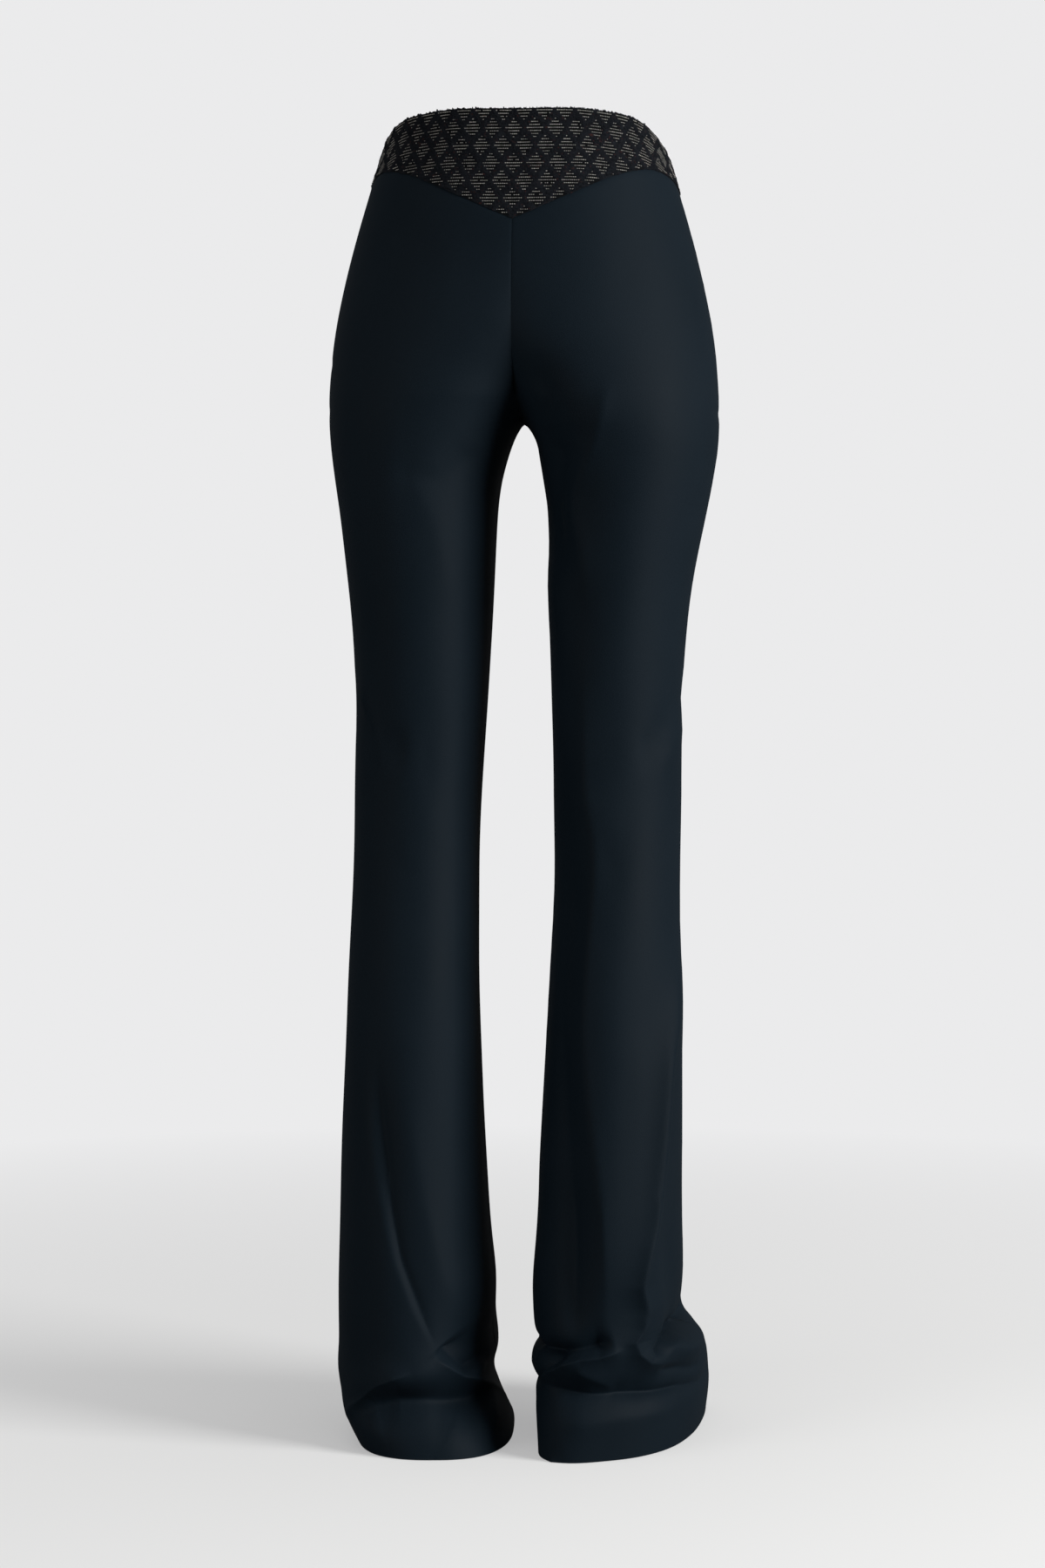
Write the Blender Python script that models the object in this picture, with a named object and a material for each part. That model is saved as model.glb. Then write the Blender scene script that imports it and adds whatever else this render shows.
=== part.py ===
"""Flared trousers in their worn form, as hollow cloth walls.

Six cut pieces: a pointed back yoke, a plain front waistband, and a back and a front piece for
each leg. Metres, +Z up, +Y the wearer's back, +X the wearer's left. The origin is the centre of
the waist opening, half way up its slanting edge.

Each body side is one smooth tube, worked out from short tables of the garment's own sizes. The
folds are added to that tube as soft ridges and troughs, and the pieces are then cut from it along
the side seams, the centre seams, the inseams and the yoke seam, so neighbours always fit.
"""

import math
from collections import namedtuple

import bmesh
import bpy
import numpy as np

# ---------------------------------------------------------------- driving dimensions (metres)

FLOOR_Z = -1.103              # the floor that the hems rest on
CROTCH_Z = -0.233             # fork of the legs
CREPE_WALL = 0.0015           # leg cloth
TWEED_WALL = 0.0022           # yoke cloth
TWEED_PROUD = 0.0007          # how far the yoke stands out past the leg cloth
SEAM_GAP = 0.0003             # pieces lie this far apart at a seam
FRONT_HEM_LIFT = 0.010        # the front hem rises this much, to clear a toe
HEM_LIFT_HEIGHT = 0.050       # and the cloth over it follows up to this height

# Yoke edges. share is the part of the way round from the centre to the side seam.
Edge = namedtuple("Edge", "share top seam")
BACK_EDGES = [
    Edge(0.00, 0.0245, -0.0665),      # pointed tip at centre back
    Edge(0.30, 0.0250, -0.0425),
    Edge(0.50, 0.0225, -0.0290),
    Edge(0.60, 0.0205, -0.0252),
    Edge(0.72, 0.0150, -0.0230),
    Edge(0.85, 0.0040, -0.0280),
    Edge(1.00, -0.0100, -0.0360),
]
FRONT_EDGES = [
    Edge(0.00, -0.0340, -0.0720),
    Edge(0.35, -0.0310, -0.0680),
    Edge(0.75, -0.0180, -0.0480),
    Edge(1.00, -0.0100, -0.0360),
]

# Raised lattice of the tweed: diamonds sunk into it, on a grid of half pitches.
DIAMOND_DEPTH = 0.0008
LATTICE_STEP = 0.00815        # half the pitch of the diamond rows

# Mesh density. The fine grid is the smooth surface that the pieces are cut from.
GRID_ROWS = 560
GRID_COLUMNS = 240
CURVE_STEPS = 400             # on each quarter of a level section
BACK_COLUMNS = 20             # across a back leg, and across half of the back yoke
FRONT_COLUMNS = 14            # across a front leg
BAND_COLUMNS = 20             # across half of the front waistband
LEVEL_ROW_Z = -0.120          # first level row below the yoke seam
BLEND_ROWS = 4                # rows from the yoke seam to that row
MERGE_SHARE = 0.30            # a lattice row nearer the yoke seam than this share is put on it
WELD = 2e-5                   # points nearer than this are one
SHARP_DEGREES = 50            # edges that turn more are shaded sharp

RowZone = namedtuple("RowZone", "low rows")
ROW_ZONES = [
    RowZone(-0.205, 3),       # seat
    RowZone(CROTCH_Z, 3),
    RowZone(-0.261, 4),       # fork
    RowZone(-0.315, 3),
    RowZone(-0.915, 11),      # thigh, knee and calf
    RowZone(-1.000, 3),
    RowZone(FLOOR_Z, 9),      # folds over the floor
]

# ---------------------------------------------------------------- level sections

# Sections of the trunk, the same on both sides. half_width is at the side seam.
Trunk = namedtuple("Trunk", "z half_width back front")
TRUNK = [
    Trunk(0.032, 0.1130, 0.090, -0.078),
    Trunk(0.000, 0.1180, 0.096, -0.082),
    Trunk(-0.0215, 0.1260, 0.100, -0.087),
    Trunk(-0.058, 0.1368, 0.107, -0.093),
    Trunk(-0.095, 0.1470, 0.114, -0.097),
    Trunk(-0.132, 0.1556, 0.120, -0.100),
    Trunk(-0.168, 0.1622, 0.124, -0.101),
    Trunk(-0.205, 0.1652, 0.123, -0.100),
]

# Sections of each leg. inner and outer are distances from the centre plane, and lean moves the
# cloth back towards the inseam, as on a foot that is turned out.
Leg = namedtuple("Leg", "z inner outer back front lean")
LEFT_LEG = [
    Leg(CROTCH_Z, 0.0000, 0.1657, 0.118, -0.098, 0.0),
    Leg(-0.242, 0.0078, 0.1650, 0.116, -0.098, 0.0),
    Leg(-0.261, 0.0152, 0.1634, 0.112, -0.097, 0.0),
    Leg(-0.279, 0.0204, 0.1614, 0.109, -0.096, 0.0),
    Leg(-0.316, 0.0249, 0.1560, 0.103, -0.094, 0.0),
    Leg(-0.390, 0.0286, 0.1483, 0.092, -0.089, 0.0),
    Leg(-0.465, 0.0331, 0.1433, 0.081, -0.082, 0.0),
    Leg(-0.502, 0.0354, 0.1465, 0.075, -0.077, 0.0),
    Leg(-0.577, 0.0400, 0.1465, 0.071, -0.070, 0.0),
    Leg(-0.690, 0.0401, 0.1509, 0.081, -0.068, 0.0),
    Leg(-0.765, 0.0386, 0.1534, 0.087, -0.074, 0.0),
    Leg(-0.841, 0.0357, 0.1574, 0.092, -0.084, 0.0),
    Leg(-0.917, 0.0320, 0.1598, 0.098, -0.100, 0.0),
    Leg(-0.993, 0.0258, 0.1623, 0.103, -0.120, 0.0),
    Leg(-1.031, 0.0265, 0.1622, 0.104, -0.130, 0.0),
    Leg(-1.055, 0.0310, 0.1620, 0.102, -0.134, 0.0),
    Leg(-1.072, 0.0270, 0.1600, 0.104, -0.137, -0.1),
    Leg(FLOOR_Z, 0.0125, 0.1460, 0.108, -0.138, -0.1),
]
RIGHT_LEG = [
    Leg(CROTCH_Z, 0.0000, 0.1657, 0.118, -0.098, 0.00),
    Leg(-0.242, 0.0093, 0.1660, 0.116, -0.098, 0.00),
    Leg(-0.261, 0.0130, 0.1637, 0.112, -0.097, 0.00),
    Leg(-0.279, 0.0152, 0.1606, 0.109, -0.096, 0.00),
    Leg(-0.316, 0.0189, 0.1532, 0.103, -0.094, 0.00),
    Leg(-0.390, 0.0204, 0.1385, 0.092, -0.089, 0.00),
    Leg(-0.465, 0.0235, 0.1347, 0.081, -0.082, 0.00),
    Leg(-0.540, 0.0257, 0.1340, 0.072, -0.072, 0.00),
    Leg(-0.615, 0.0243, 0.1327, 0.075, -0.068, 0.00),
    Leg(-0.690, 0.0206, 0.1337, 0.081, -0.068, 0.00),
    Leg(-0.765, 0.0169, 0.1348, 0.087, -0.074, 0.00),
    Leg(-0.841, 0.0131, 0.1349, 0.092, -0.084, 0.00),
    Leg(-0.917, 0.0102, 0.1344, 0.098, -0.100, 0.00),
    Leg(-0.955, 0.0072, 0.1360, 0.101, -0.110, 0.05),
    Leg(-0.998, 0.0057, 0.1335, 0.103, -0.120, 0.15),
    Leg(-1.013, 0.0060, 0.1450, 0.102, -0.126, 0.25),
    Leg(-1.045, 0.0115, 0.1550, 0.098, -0.134, 0.40),
    Leg(-1.069, 0.0140, 0.1545, 0.097, -0.138, 0.50),
    Leg(FLOOR_Z, 0.0190, 0.1490, 0.097, -0.138, 0.50),
]

OUTER_POWER = 2.15            # roundness of a section from its side seam to its back or front
INNER_POWER = 2.30            # and from there to the inseam or the centre seam
HEM_POWER = 2.80              # squarer at the hem, where the cloth stands on the floor
HEM_TURN_OUT = 0.080          # and turned out, its back towards the centre, as over a foot
HEM_HEIGHT = 0.060            # height over the floor in which it gets so
SOFTEN = 0.014                # the cloth bridges changes of form over about this height
SOFTEN_LOW_Z = -0.900         # above the folds at the floor, which stay crisp
SOFTEN_FADE = 0.050           # height over which the softening sets in
SOFTEN_EDGE_POWER = 6         # how sharply it stops at the inseam
CLEFT_HEIGHT = 0.090          # height over the fork in which the legs' forms blend into one
CLEFT_POWER = 1.30
EASE_HEIGHT = 0.100           # height over the fork in which the mesh columns ease to the seam
EASE_POWER = 3
INSEAM_BLEND = 0.020          # height over the fork in which the inseam's gap closes

# ---------------------------------------------------------------- folds

# A fold is a soft ridge (height above 0) or trough (below 0) along a path of (across, z) points.
# across is the distance from the centre plane on a back or front, and y on a side of the leg.
Fold = namedtuple("Fold", "face width height path")
BACK, FRONT, OUTER, INNER = "back", "front", "outer", "inner"
FACING_FROM = 0.05            # a fold shows where the cloth's normal points this much its way
FACING_SPAN = 0.45            # and has its full height this much further round
LEFT_FOLDS = [
    Fold(BACK, 0.016, -0.0040, ((0.117, -0.74), (0.106, -0.87), (0.088, -0.937), (0.062, -1.021))),
    Fold(BACK, 0.013, 0.0025, ((0.100, -0.76), (0.090, -0.87), (0.072, -0.93), (0.050, -0.99))),
    Fold(BACK, 0.012, 0.0025, ((0.132, -0.80), (0.120, -0.89), (0.104, -0.94), (0.084, -1.00))),
    Fold(BACK, 0.009, 0.0070, ((0.062, -1.021), (0.040, -1.031), (0.022, -1.040), (0.014, -1.056))),
    Fold(BACK, 0.014, -0.0070, ((0.058, -1.000), (0.033, -1.015), (0.006, -1.035))),
    Fold(BACK, 0.012, 0.0060, ((0.062, -1.026), (0.088, -1.036), (0.112, -1.038), (0.142, -1.060))),
    Fold(BACK, 0.010, -0.0070, ((0.146, -1.074), (0.125, -1.063), (0.080, -1.057), (0.030, -1.060))),
    Fold(OUTER, 0.014, 0.0020, ((0.060, -1.050), (0.000, -1.040), (-0.060, -1.046))),
    Fold(OUTER, 0.010, -0.0020, ((0.060, -1.072), (0.000, -1.066), (-0.060, -1.070))),
    Fold(OUTER, 0.012, -0.0030, ((0.030, -0.446), (-0.010, -0.458), (-0.050, -0.450))),
    Fold(BACK, 0.010, 0.0030, ((0.140, -0.462), (0.125, -0.496), (0.108, -0.514))),
    Fold(BACK, 0.012, -0.0025, ((0.142, -0.480), (0.122, -0.520), (0.100, -0.535))),
    Fold(INNER, 0.012, -0.0040, ((0.070, -0.990), (0.000, -1.010), (-0.070, -1.000))),
    Fold(INNER, 0.012, 0.0010, ((0.060, -1.035), (-0.010, -1.040), (-0.080, -1.030))),
    Fold(FRONT, 0.016, -0.0050, ((0.130, -0.90), (0.108, -0.96), (0.072, -1.015))),
    Fold(FRONT, 0.012, 0.0060, ((0.040, -1.010), (0.085, -1.030), (0.135, -1.018))),
    Fold(FRONT, 0.011, -0.0060, ((0.036, -1.050), (0.085, -1.062), (0.140, -1.052))),
    Fold(FRONT, 0.014, -0.0020, ((0.018, -0.205), (0.050, -0.180), (0.090, -0.160))),
]
RIGHT_FOLDS = [
    Fold(BACK, 0.022, -0.0040, ((0.046, -0.52), (0.044, -0.75), (0.048, -0.99))),
    Fold(BACK, 0.016, 0.0030, ((0.082, -0.66), (0.078, -0.86), (0.077, -1.011))),
    Fold(BACK, 0.009, 0.0060, ((0.020, -1.034), (0.037, -1.023), (0.077, -1.011), (0.104, -1.000))),
    Fold(BACK, 0.010, 0.0055, ((0.130, -0.74), (0.126, -0.83), (0.112, -0.92), (0.111, -0.955))),
    Fold(BACK, 0.009, 0.0070, ((0.111, -0.94), (0.115, -0.977), (0.108, -1.003))),
    Fold(BACK, 0.009, 0.0060, ((0.106, -1.000), (0.116, -1.016), (0.158, -1.012))),
    Fold(BACK, 0.010, -0.0040, ((0.123, -0.89), (0.126, -0.94), (0.128, -0.970))),
    Fold(BACK, 0.008, 0.0025, ((0.141, -0.88), (0.139, -0.93), (0.142, -0.965))),
    Fold(BACK, 0.009, -0.0060, ((0.150, -0.985), (0.136, -0.990), (0.122, -1.000))),
    Fold(INNER, 0.010, -0.0050, ((0.080, -1.000), (0.040, -1.006), (-0.020, -1.004))),
    Fold(BACK, 0.011, -0.0060, ((0.036, -1.046), (0.067, -1.049), (0.100, -1.043), (0.156, -1.034))),
    Fold(BACK, 0.010, 0.0030, ((0.040, -1.030), (0.062, -1.036), (0.090, -1.028))),
    Fold(BACK, 0.030, -0.0030, ((0.038, -0.235), (0.046, -0.300), (0.052, -0.380))),
    Fold(BACK, 0.010, 0.0020, ((0.030, -0.345), (0.034, -0.370), (0.038, -0.400))),
    Fold(BACK, 0.010, 0.0025, ((0.142, -0.468), (0.134, -0.505), (0.122, -0.530))),
    Fold(OUTER, 0.012, -0.0030, ((0.030, -0.458), (-0.010, -0.470), (-0.050, -0.462))),
    Fold(OUTER, 0.010, -0.0045, ((0.050, -0.992), (0.000, -0.998), (-0.060, -0.994))),
    Fold(OUTER, 0.012, 0.0020, ((0.040, -1.030), (-0.010, -1.026), (-0.070, -1.034))),
    Fold(FRONT, 0.015, -0.0050, ((0.030, -0.91), (0.052, -0.965), (0.090, -1.012))),
    Fold(FRONT, 0.012, 0.0060, ((0.026, -1.022), (0.070, -1.034), (0.120, -1.016))),
    Fold(FRONT, 0.011, -0.0060, ((0.022, -1.054), (0.075, -1.064), (0.128, -1.050))),
    Fold(FRONT, 0.014, -0.0020, ((0.018, -0.208), (0.052, -0.182), (0.092, -0.158))),
]

# ---------------------------------------------------------------- cloth colours

# name: (base colour, roughness), linear light
CREPE = ((0.0080, 0.0105, 0.0140, 1.0), 0.80)
TWEED = ((0.0230, 0.0220, 0.0230, 1.0), 0.70)


# ---------------------------------------------------------------- surface of one body side

def smooth_through(stations, values, at):
    """Monotone cubic through rising stations, so that no size overshoots between two rows."""
    stations = np.asarray(stations, float)
    values = np.asarray(values, float)
    step = np.diff(stations)
    slope = np.diff(values) / step
    tangent = np.empty_like(values)
    tangent[0], tangent[-1] = slope[0], slope[-1]
    same_way = slope[:-1] * slope[1:] > 0
    harmonic = 2 * slope[:-1] * slope[1:] / np.where(same_way, slope[:-1] + slope[1:], 1.0)
    tangent[1:-1] = np.where(same_way, harmonic, 0.0)
    at = np.clip(at, stations[0], stations[-1])
    i = np.clip(np.searchsorted(stations, at, side="right") - 1, 0, len(step) - 1)
    t = (at - stations[i]) / step[i]
    return (values[i] * (1 + 2 * t) * (1 - t) ** 2
            + tangent[i] * step[i] * t * (1 - t) ** 2
            + values[i + 1] * t * t * (3 - 2 * t)
            + tangent[i + 1] * step[i] * t * t * (t - 1))


def column(rows, name, z):
    """One named column of a table of sections, at height z."""
    rising = sorted(rows, key=lambda row: row.z)
    return float(smooth_through([r.z for r in rising], [getattr(r, name) for r in rising], z))


def section(leg, z, facing):
    """Level line from the side seam to the inseam or centre seam, evenly spaced along itself.

    facing is 1 for the back and -1 for the front. The distance from the centre plane comes first.
    """
    trunk = [Leg(t.z, 0.0, t.half_width, t.back, t.front, 0.0) for t in TRUNK]
    whole = trunk + leg
    outer = column(whole, "outer", z)
    back = column(whole, "back", z)
    front = column(whole, "front", z)
    middle = (back + front) / 2
    reach = back - middle if facing > 0 else front - middle
    above = z - CROTCH_Z
    if above >= 0:
        inner_half = column(whole, "outer", CROTCH_Z) / 2
        cut = math.exp(-(above / CLEFT_HEIGHT) ** CLEFT_POWER)
        apex = cut * inner_half
    else:
        inner = column(leg, "inner", z)
        inner_half = (outer - inner) / 2
        cut = 1.0
        apex = inner + inner_half
    near_hem = min(max(1 - (z - FLOOR_Z) / HEM_HEIGHT, 0.0), 1.0)
    outer_power = OUTER_POWER + (HEM_POWER - OUTER_POWER) * near_hem
    inner_power = INNER_POWER + (HEM_POWER - INNER_POWER) * near_hem
    turn = np.linspace(0.0, math.pi / 2, CURVE_STEPS)
    outer_x = apex + (outer - apex) * np.cos(turn) ** (2 / outer_power)
    outer_y = middle + reach * np.sin(turn) ** (2 / outer_power)
    turn = turn[-2::-1]
    inner_x = apex - inner_half * np.cos(turn) ** (2 / inner_power)
    inner_y = middle + reach * np.sin(turn) ** (2 / inner_power)
    x = np.concatenate([outer_x, inner_x])
    y = np.concatenate([outer_y, inner_y])
    straight = x
    x = x - HEM_TURN_OUT * near_hem * (y - middle)
    y = y - column(whole, "lean", z) * (straight - apex)
    length = np.concatenate([[0.0], np.cumsum(np.hypot(np.diff(x), np.diff(y)))])
    seam = float(np.interp(0.0, -x, length)) if above >= 0 else length[-1]
    ease = 1 - min(max(above / EASE_HEIGHT, 0.0), 1.0)
    spare = (length[-1] - seam) * ease * ease * (3 - 2 * ease)
    share = np.linspace(0.0, 1.0, GRID_COLUMNS)
    even = (seam + spare) * share - spare * share ** EASE_POWER
    return np.stack([np.interp(even, length, x), np.interp(even, length, y)], axis=-1)


def normals(points, facing):
    """Outward unit normals of a grid of points whose rows rise, by central differences."""
    along = np.gradient(points, axis=1)
    rise = np.gradient(points, axis=0)
    across = np.cross(along, rise) * facing
    return across / np.linalg.norm(across, axis=-1, keepdims=True)


def soften(grid, heights):
    """Smooth a grid of level lines upwards, but for its seam edge and the folds at the floor."""
    spread = SOFTEN / (heights[1] - heights[0])
    reach = math.ceil(3 * spread)
    weight = np.exp(-0.5 * (np.arange(-reach, reach + 1) / spread) ** 2)
    weight = weight / weight.sum()
    padded = np.concatenate([np.repeat(grid[:1], reach, 0), grid, np.repeat(grid[-1:], reach, 0)])
    smooth = sum(w * padded[k:k + len(grid)] for k, w in enumerate(weight))
    share = np.linspace(0.0, 1.0, grid.shape[1])[None, :, None]
    above = np.clip((heights - SOFTEN_LOW_Z) / SOFTEN_FADE, 0.0, 1.0)[:, None, None]
    return grid + (smooth - grid) * (1 - share ** SOFTEN_EDGE_POWER) * above


def distance_to_path(a, b, path):
    """Distance from each (a, b) to a path, and the share of the path's length at that place."""
    path = np.asarray(path, float)
    lengths = np.hypot(*np.diff(path, axis=0).T)
    before = np.concatenate([[0.0], np.cumsum(lengths)])
    best = np.full(a.shape, np.inf)
    share = np.zeros(a.shape)
    for k, length in enumerate(lengths):
        (a0, b0), (da, db) = path[k], path[k + 1] - path[k]
        t = np.clip(((a - a0) * da + (b - b0) * db) / length ** 2, 0.0, 1.0)
        gap = np.hypot(a - a0 - t * da, b - b0 - t * db)
        nearer = gap < best
        best = np.where(nearer, gap, best)
        share = np.where(nearer, (before[k] + t * length) / before[-1], share)
    return best, share


def fold_height(points, normal, folds):
    """How far the folds push each point of a grid out along its normal."""
    x, y, z = np.moveaxis(points, -1, 0)
    seen_from = {
        BACK: (x, normal[..., 1]),
        FRONT: (x, -normal[..., 1]),
        OUTER: (y, normal[..., 0]),
        INNER: (y, -normal[..., 0]),
    }
    height = np.zeros(x.shape)
    for fold in folds:
        across, facing = seen_from[fold.face]
        gap, share = distance_to_path(across, z, fold.path)
        fade = np.sqrt(np.clip(4 * share * (1 - share), 0.0, 1.0))
        shown = np.clip((facing - FACING_FROM) / FACING_SPAN, 0.0, 1.0)
        height += fold.height * np.exp(-(gap / fold.width) ** 2) * fade * shown
    return height


class BodySide:
    """The outer surface of one side of the garment, from the waist to the floor.

    Places on it are given as a share of the way from the side seam (0) to the inseam or centre
    seam (1), and a height. Distances from the centre plane are positive; sign turns them into x.
    """

    def __init__(self, leg, folds, sign):
        self.sign = sign
        self.low = FLOOR_Z
        self.high = TRUNK[0].z
        self.heights = np.linspace(self.low, self.high, GRID_ROWS)
        self.points, self.normal, self.length = {}, {}, {}
        for facing in (1, -1):
            grid = np.array([section(leg, z, facing) for z in self.heights])
            grid = soften(grid, self.heights)
            level = np.broadcast_to(self.heights[:, None, None], grid.shape[:2] + (1,))
            grid = np.concatenate([grid, level], axis=-1)
            way_out = normals(grid, facing)
            grid = grid + way_out * fold_height(grid, way_out, folds)[..., None]
            grid[..., 0] = np.maximum(grid[..., 0], 0.0)
            self.points[facing] = grid
            self.normal[facing] = normals(grid, facing)
            steps = np.linalg.norm(np.diff(grid[..., :2], axis=1), axis=-1)
            self.length[facing] = steps.sum(axis=1)
        self.join_seams()

    def join_seams(self):
        """Give both pieces the same edge and the same normal along a seam that they share."""
        below = self.heights < CROTCH_Z
        for edge, rows in ((0, slice(None)), (-1, below)):
            for grids in (self.points, self.normal):
                mean = (grids[1][rows, edge] + grids[-1][rows, edge]) / 2
                if grids is self.normal:
                    mean = mean / np.linalg.norm(mean, axis=-1, keepdims=True)
                grids[1][rows, edge] = mean
                grids[-1][rows, edge] = mean

    def sample(self, grids, facing, share, z):
        """Bilinear reading of a grid at a share of the way round and a height."""
        grid = grids[facing]
        row = np.clip((z - self.low) / (self.high - self.low), 0.0, 1.0) * (grid.shape[0] - 1)
        col = np.clip(share, 0.0, 1.0) * (grid.shape[1] - 1)
        r = min(int(row), grid.shape[0] - 2)
        c = min(int(col), grid.shape[1] - 2)
        u, v = row - r, col - c
        return ((grid[r, c] * (1 - v) + grid[r, c + 1] * v) * (1 - u)
                + (grid[r + 1, c] * (1 - v) + grid[r + 1, c + 1] * v) * u)

    def trimmed(self, facing, share, z):
        """Share of a place on a piece whose edges stop half a seam gap short of its seams."""
        trim = SEAM_GAP / 2 / float(np.interp(z, self.heights, self.length[facing]))
        inseam = min(max(1 - (z - CROTCH_Z) / INSEAM_BLEND, 0.0), 1.0)
        return trim + share * (1 - trim - trim * inseam)

    def place(self, facing, share, z, out=0.0):
        """Point of the surface, moved out along its normal by out, on this side of the centre."""
        share = self.trimmed(facing, share, z)
        point = self.sample(self.points, facing, share, z)
        way_out = self.sample(self.normal, facing, share, z)
        way_out = way_out / np.linalg.norm(way_out)
        x, y, height = point + way_out * out
        return (self.sign * (max(x, 0.0) + SEAM_GAP / 2), y, height)


# ---------------------------------------------------------------- walls

def edge_height(edges, name, share):
    """Height of a yoke edge at a share of the way from the centre to the side seam."""
    return float(smooth_through([e.share for e in edges], [getattr(e, name) for e in edges], share))


def seam_height(facing, share):
    """Height of the yoke seam, straight between the columns of the leg pieces."""
    edges, columns = (BACK_EDGES, BACK_COLUMNS) if facing > 0 else (FRONT_EDGES, FRONT_COLUMNS)
    knots = np.linspace(0.0, 1.0, columns + 1)
    return float(np.interp(share, knots, [edge_height(edges, "seam", k) for k in knots]))


def level_rows():
    """Heights of the level rows of a leg, from below the yoke to the floor."""
    rows = [LEVEL_ROW_Z]
    for zone in ROW_ZONES:
        rows.extend(np.linspace(rows[-1], zone.low, zone.rows + 1)[1:])
    return rows


def hem_lift(facing, share, z):
    """How far a place near the front hem is raised, so that the hem clears the toe."""
    near_hem = max(0.0, 1 - (z - FLOOR_Z) / HEM_LIFT_HEIGHT)
    return 0.0 if facing > 0 else FRONT_HEM_LIFT * near_hem * math.sin(math.pi * share) ** 2


def wall_object(name, outer, inner, finish, collection):
    """A closed wall between two grids of points, as an object with its own material."""
    rows, columns = len(outer), len(outer[0])
    shell = bmesh.new()
    out = [[shell.verts.new(p) for p in row] for row in outer]
    inn = [[shell.verts.new(p) for p in row] for row in inner]
    for r in range(rows - 1):
        for c in range(columns - 1):
            shell.faces.new((out[r][c], out[r][c + 1], out[r + 1][c + 1], out[r + 1][c]))
            shell.faces.new((inn[r][c], inn[r + 1][c], inn[r + 1][c + 1], inn[r][c + 1]))
    around = ([(0, c) for c in range(columns)] + [(r, columns - 1) for r in range(1, rows)]
              + [(rows - 1, c) for c in range(columns - 2, -1, -1)]
              + [(r, 0) for r in range(rows - 2, 0, -1)])
    for (r0, c0), (r1, c1) in zip(around, around[1:] + around[:1]):
        shell.faces.new((out[r1][c1], out[r0][c0], inn[r0][c0], inn[r1][c1]))
    bmesh.ops.remove_doubles(shell, verts=shell.verts, dist=WELD)
    bmesh.ops.recalc_face_normals(shell, faces=shell.faces)
    mesh = bpy.data.meshes.new(name)
    shell.to_mesh(mesh)
    shell.free()
    mesh.shade_smooth()
    mesh.set_sharp_from_angle(angle=math.radians(SHARP_DEGREES))
    material = bpy.data.materials.new(name + "_cloth")
    material.use_nodes = True
    shader = material.node_tree.nodes["Principled BSDF"]
    shader.inputs["Base Color"].default_value = finish[0]
    shader.inputs["Roughness"].default_value = finish[1]
    mesh.materials.append(material)
    piece = bpy.data.objects.new(name, mesh)
    collection.objects.link(piece)
    return piece


def leg_piece(name, side, facing, collection):
    """A back or front leg, from just under the yoke seam to the hem."""
    columns = BACK_COLUMNS if facing > 0 else FRONT_COLUMNS
    outer, inner = [], []
    level = level_rows()
    for row in range(BLEND_ROWS + len(level)):
        outer.append([])
        inner.append([])
        for c in range(columns + 1):
            share = c / columns
            top = seam_height(facing, 1 - share) - SEAM_GAP / 2
            if row < BLEND_ROWS:
                z = top + (LEVEL_ROW_Z - top) * row / BLEND_ROWS
            else:
                z = level[row - BLEND_ROWS]
            lift = hem_lift(facing, share, z)
            for grid, depth in ((outer, 0.0), (inner, -CREPE_WALL)):
                x, y, height = side.place(facing, share, z, depth)
                grid[-1].append((x, y, max(height, FLOOR_Z) + lift))
    return wall_object(name, outer, inner, CREPE, collection)


def band_piece(name, left, right, facing, columns, collection):
    """A yoke or waistband that runs from one side seam round the centre to the other."""
    edges = BACK_EDGES if facing > 0 else FRONT_EDGES
    deepest = max(e.top - e.seam for e in edges)
    row_count = math.ceil(deepest / LATTICE_STEP)
    outer, inner = [], []
    for row in range(row_count + 1):
        outer.append([])
        inner.append([])
        for c in range(-columns, columns + 1):
            side = left if c <= 0 else right
            from_centre = abs(c) / columns
            top = edge_height(edges, "top", from_centre)
            low = seam_height(facing, from_centre) + SEAM_GAP / 2
            z = max(top - row * LATTICE_STEP, low)
            on_seam = z - low < MERGE_SHARE * LATTICE_STEP
            at_edge = row == 0 or on_seam or abs(c) == columns
            if on_seam:
                z = low
            in_diamond = row % 2 == 0 and (c + row // 2) % 2 == 1
            sunk = DIAMOND_DEPTH if in_diamond and not at_edge else 0.0
            for grid, depth in ((outer, TWEED_PROUD - sunk), (inner, TWEED_PROUD - TWEED_WALL)):
                x, y, height = side.place(facing, 1 - from_centre, z, depth)
                grid[-1].append((x if c else 0.0, y, height))
    return wall_object(name, outer, inner, TWEED, collection)


def main():
    """Clear the scene and model the six pieces."""
    for old in list(bpy.data.objects):
        bpy.data.objects.remove(old, do_unlink=True)
    collection = bpy.data.collections.new("flared_trousers")
    bpy.context.scene.collection.children.link(collection)
    left = BodySide(LEFT_LEG, LEFT_FOLDS, 1.0)
    right = BodySide(RIGHT_LEG, RIGHT_FOLDS, -1.0)
    band_piece("back_yoke", left, right, 1, BACK_COLUMNS, collection)
    band_piece("front_yoke", left, right, -1, BAND_COLUMNS, collection)
    for name, side in (("left", left), ("right", right)):
        leg_piece(name + "_back_leg", side, 1, collection)
        leg_piece(name + "_front_leg", side, -1, collection)


main()
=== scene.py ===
"""Flared trousers in their worn form, dressed for a studio picture.

Six cloth sheets lie on the frame's solids: a pointed back yoke and a front waistband in a lattice
tweed, and a back and a front piece of plain crepe for each leg. Metres, but for the creases, which
are in millimetres. +Z up, +Y the wearer's back, +X the wearer's left. The origin is the centre of
the waist opening.
"""

import logging
import math
from dataclasses import dataclass, field
from enum import Enum
from typing import NamedTuple

import bmesh
import bpy
import numpy as np
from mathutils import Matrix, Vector
from mathutils.bvhtree import BVHTree
from mathutils.kdtree import KDTree


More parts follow.
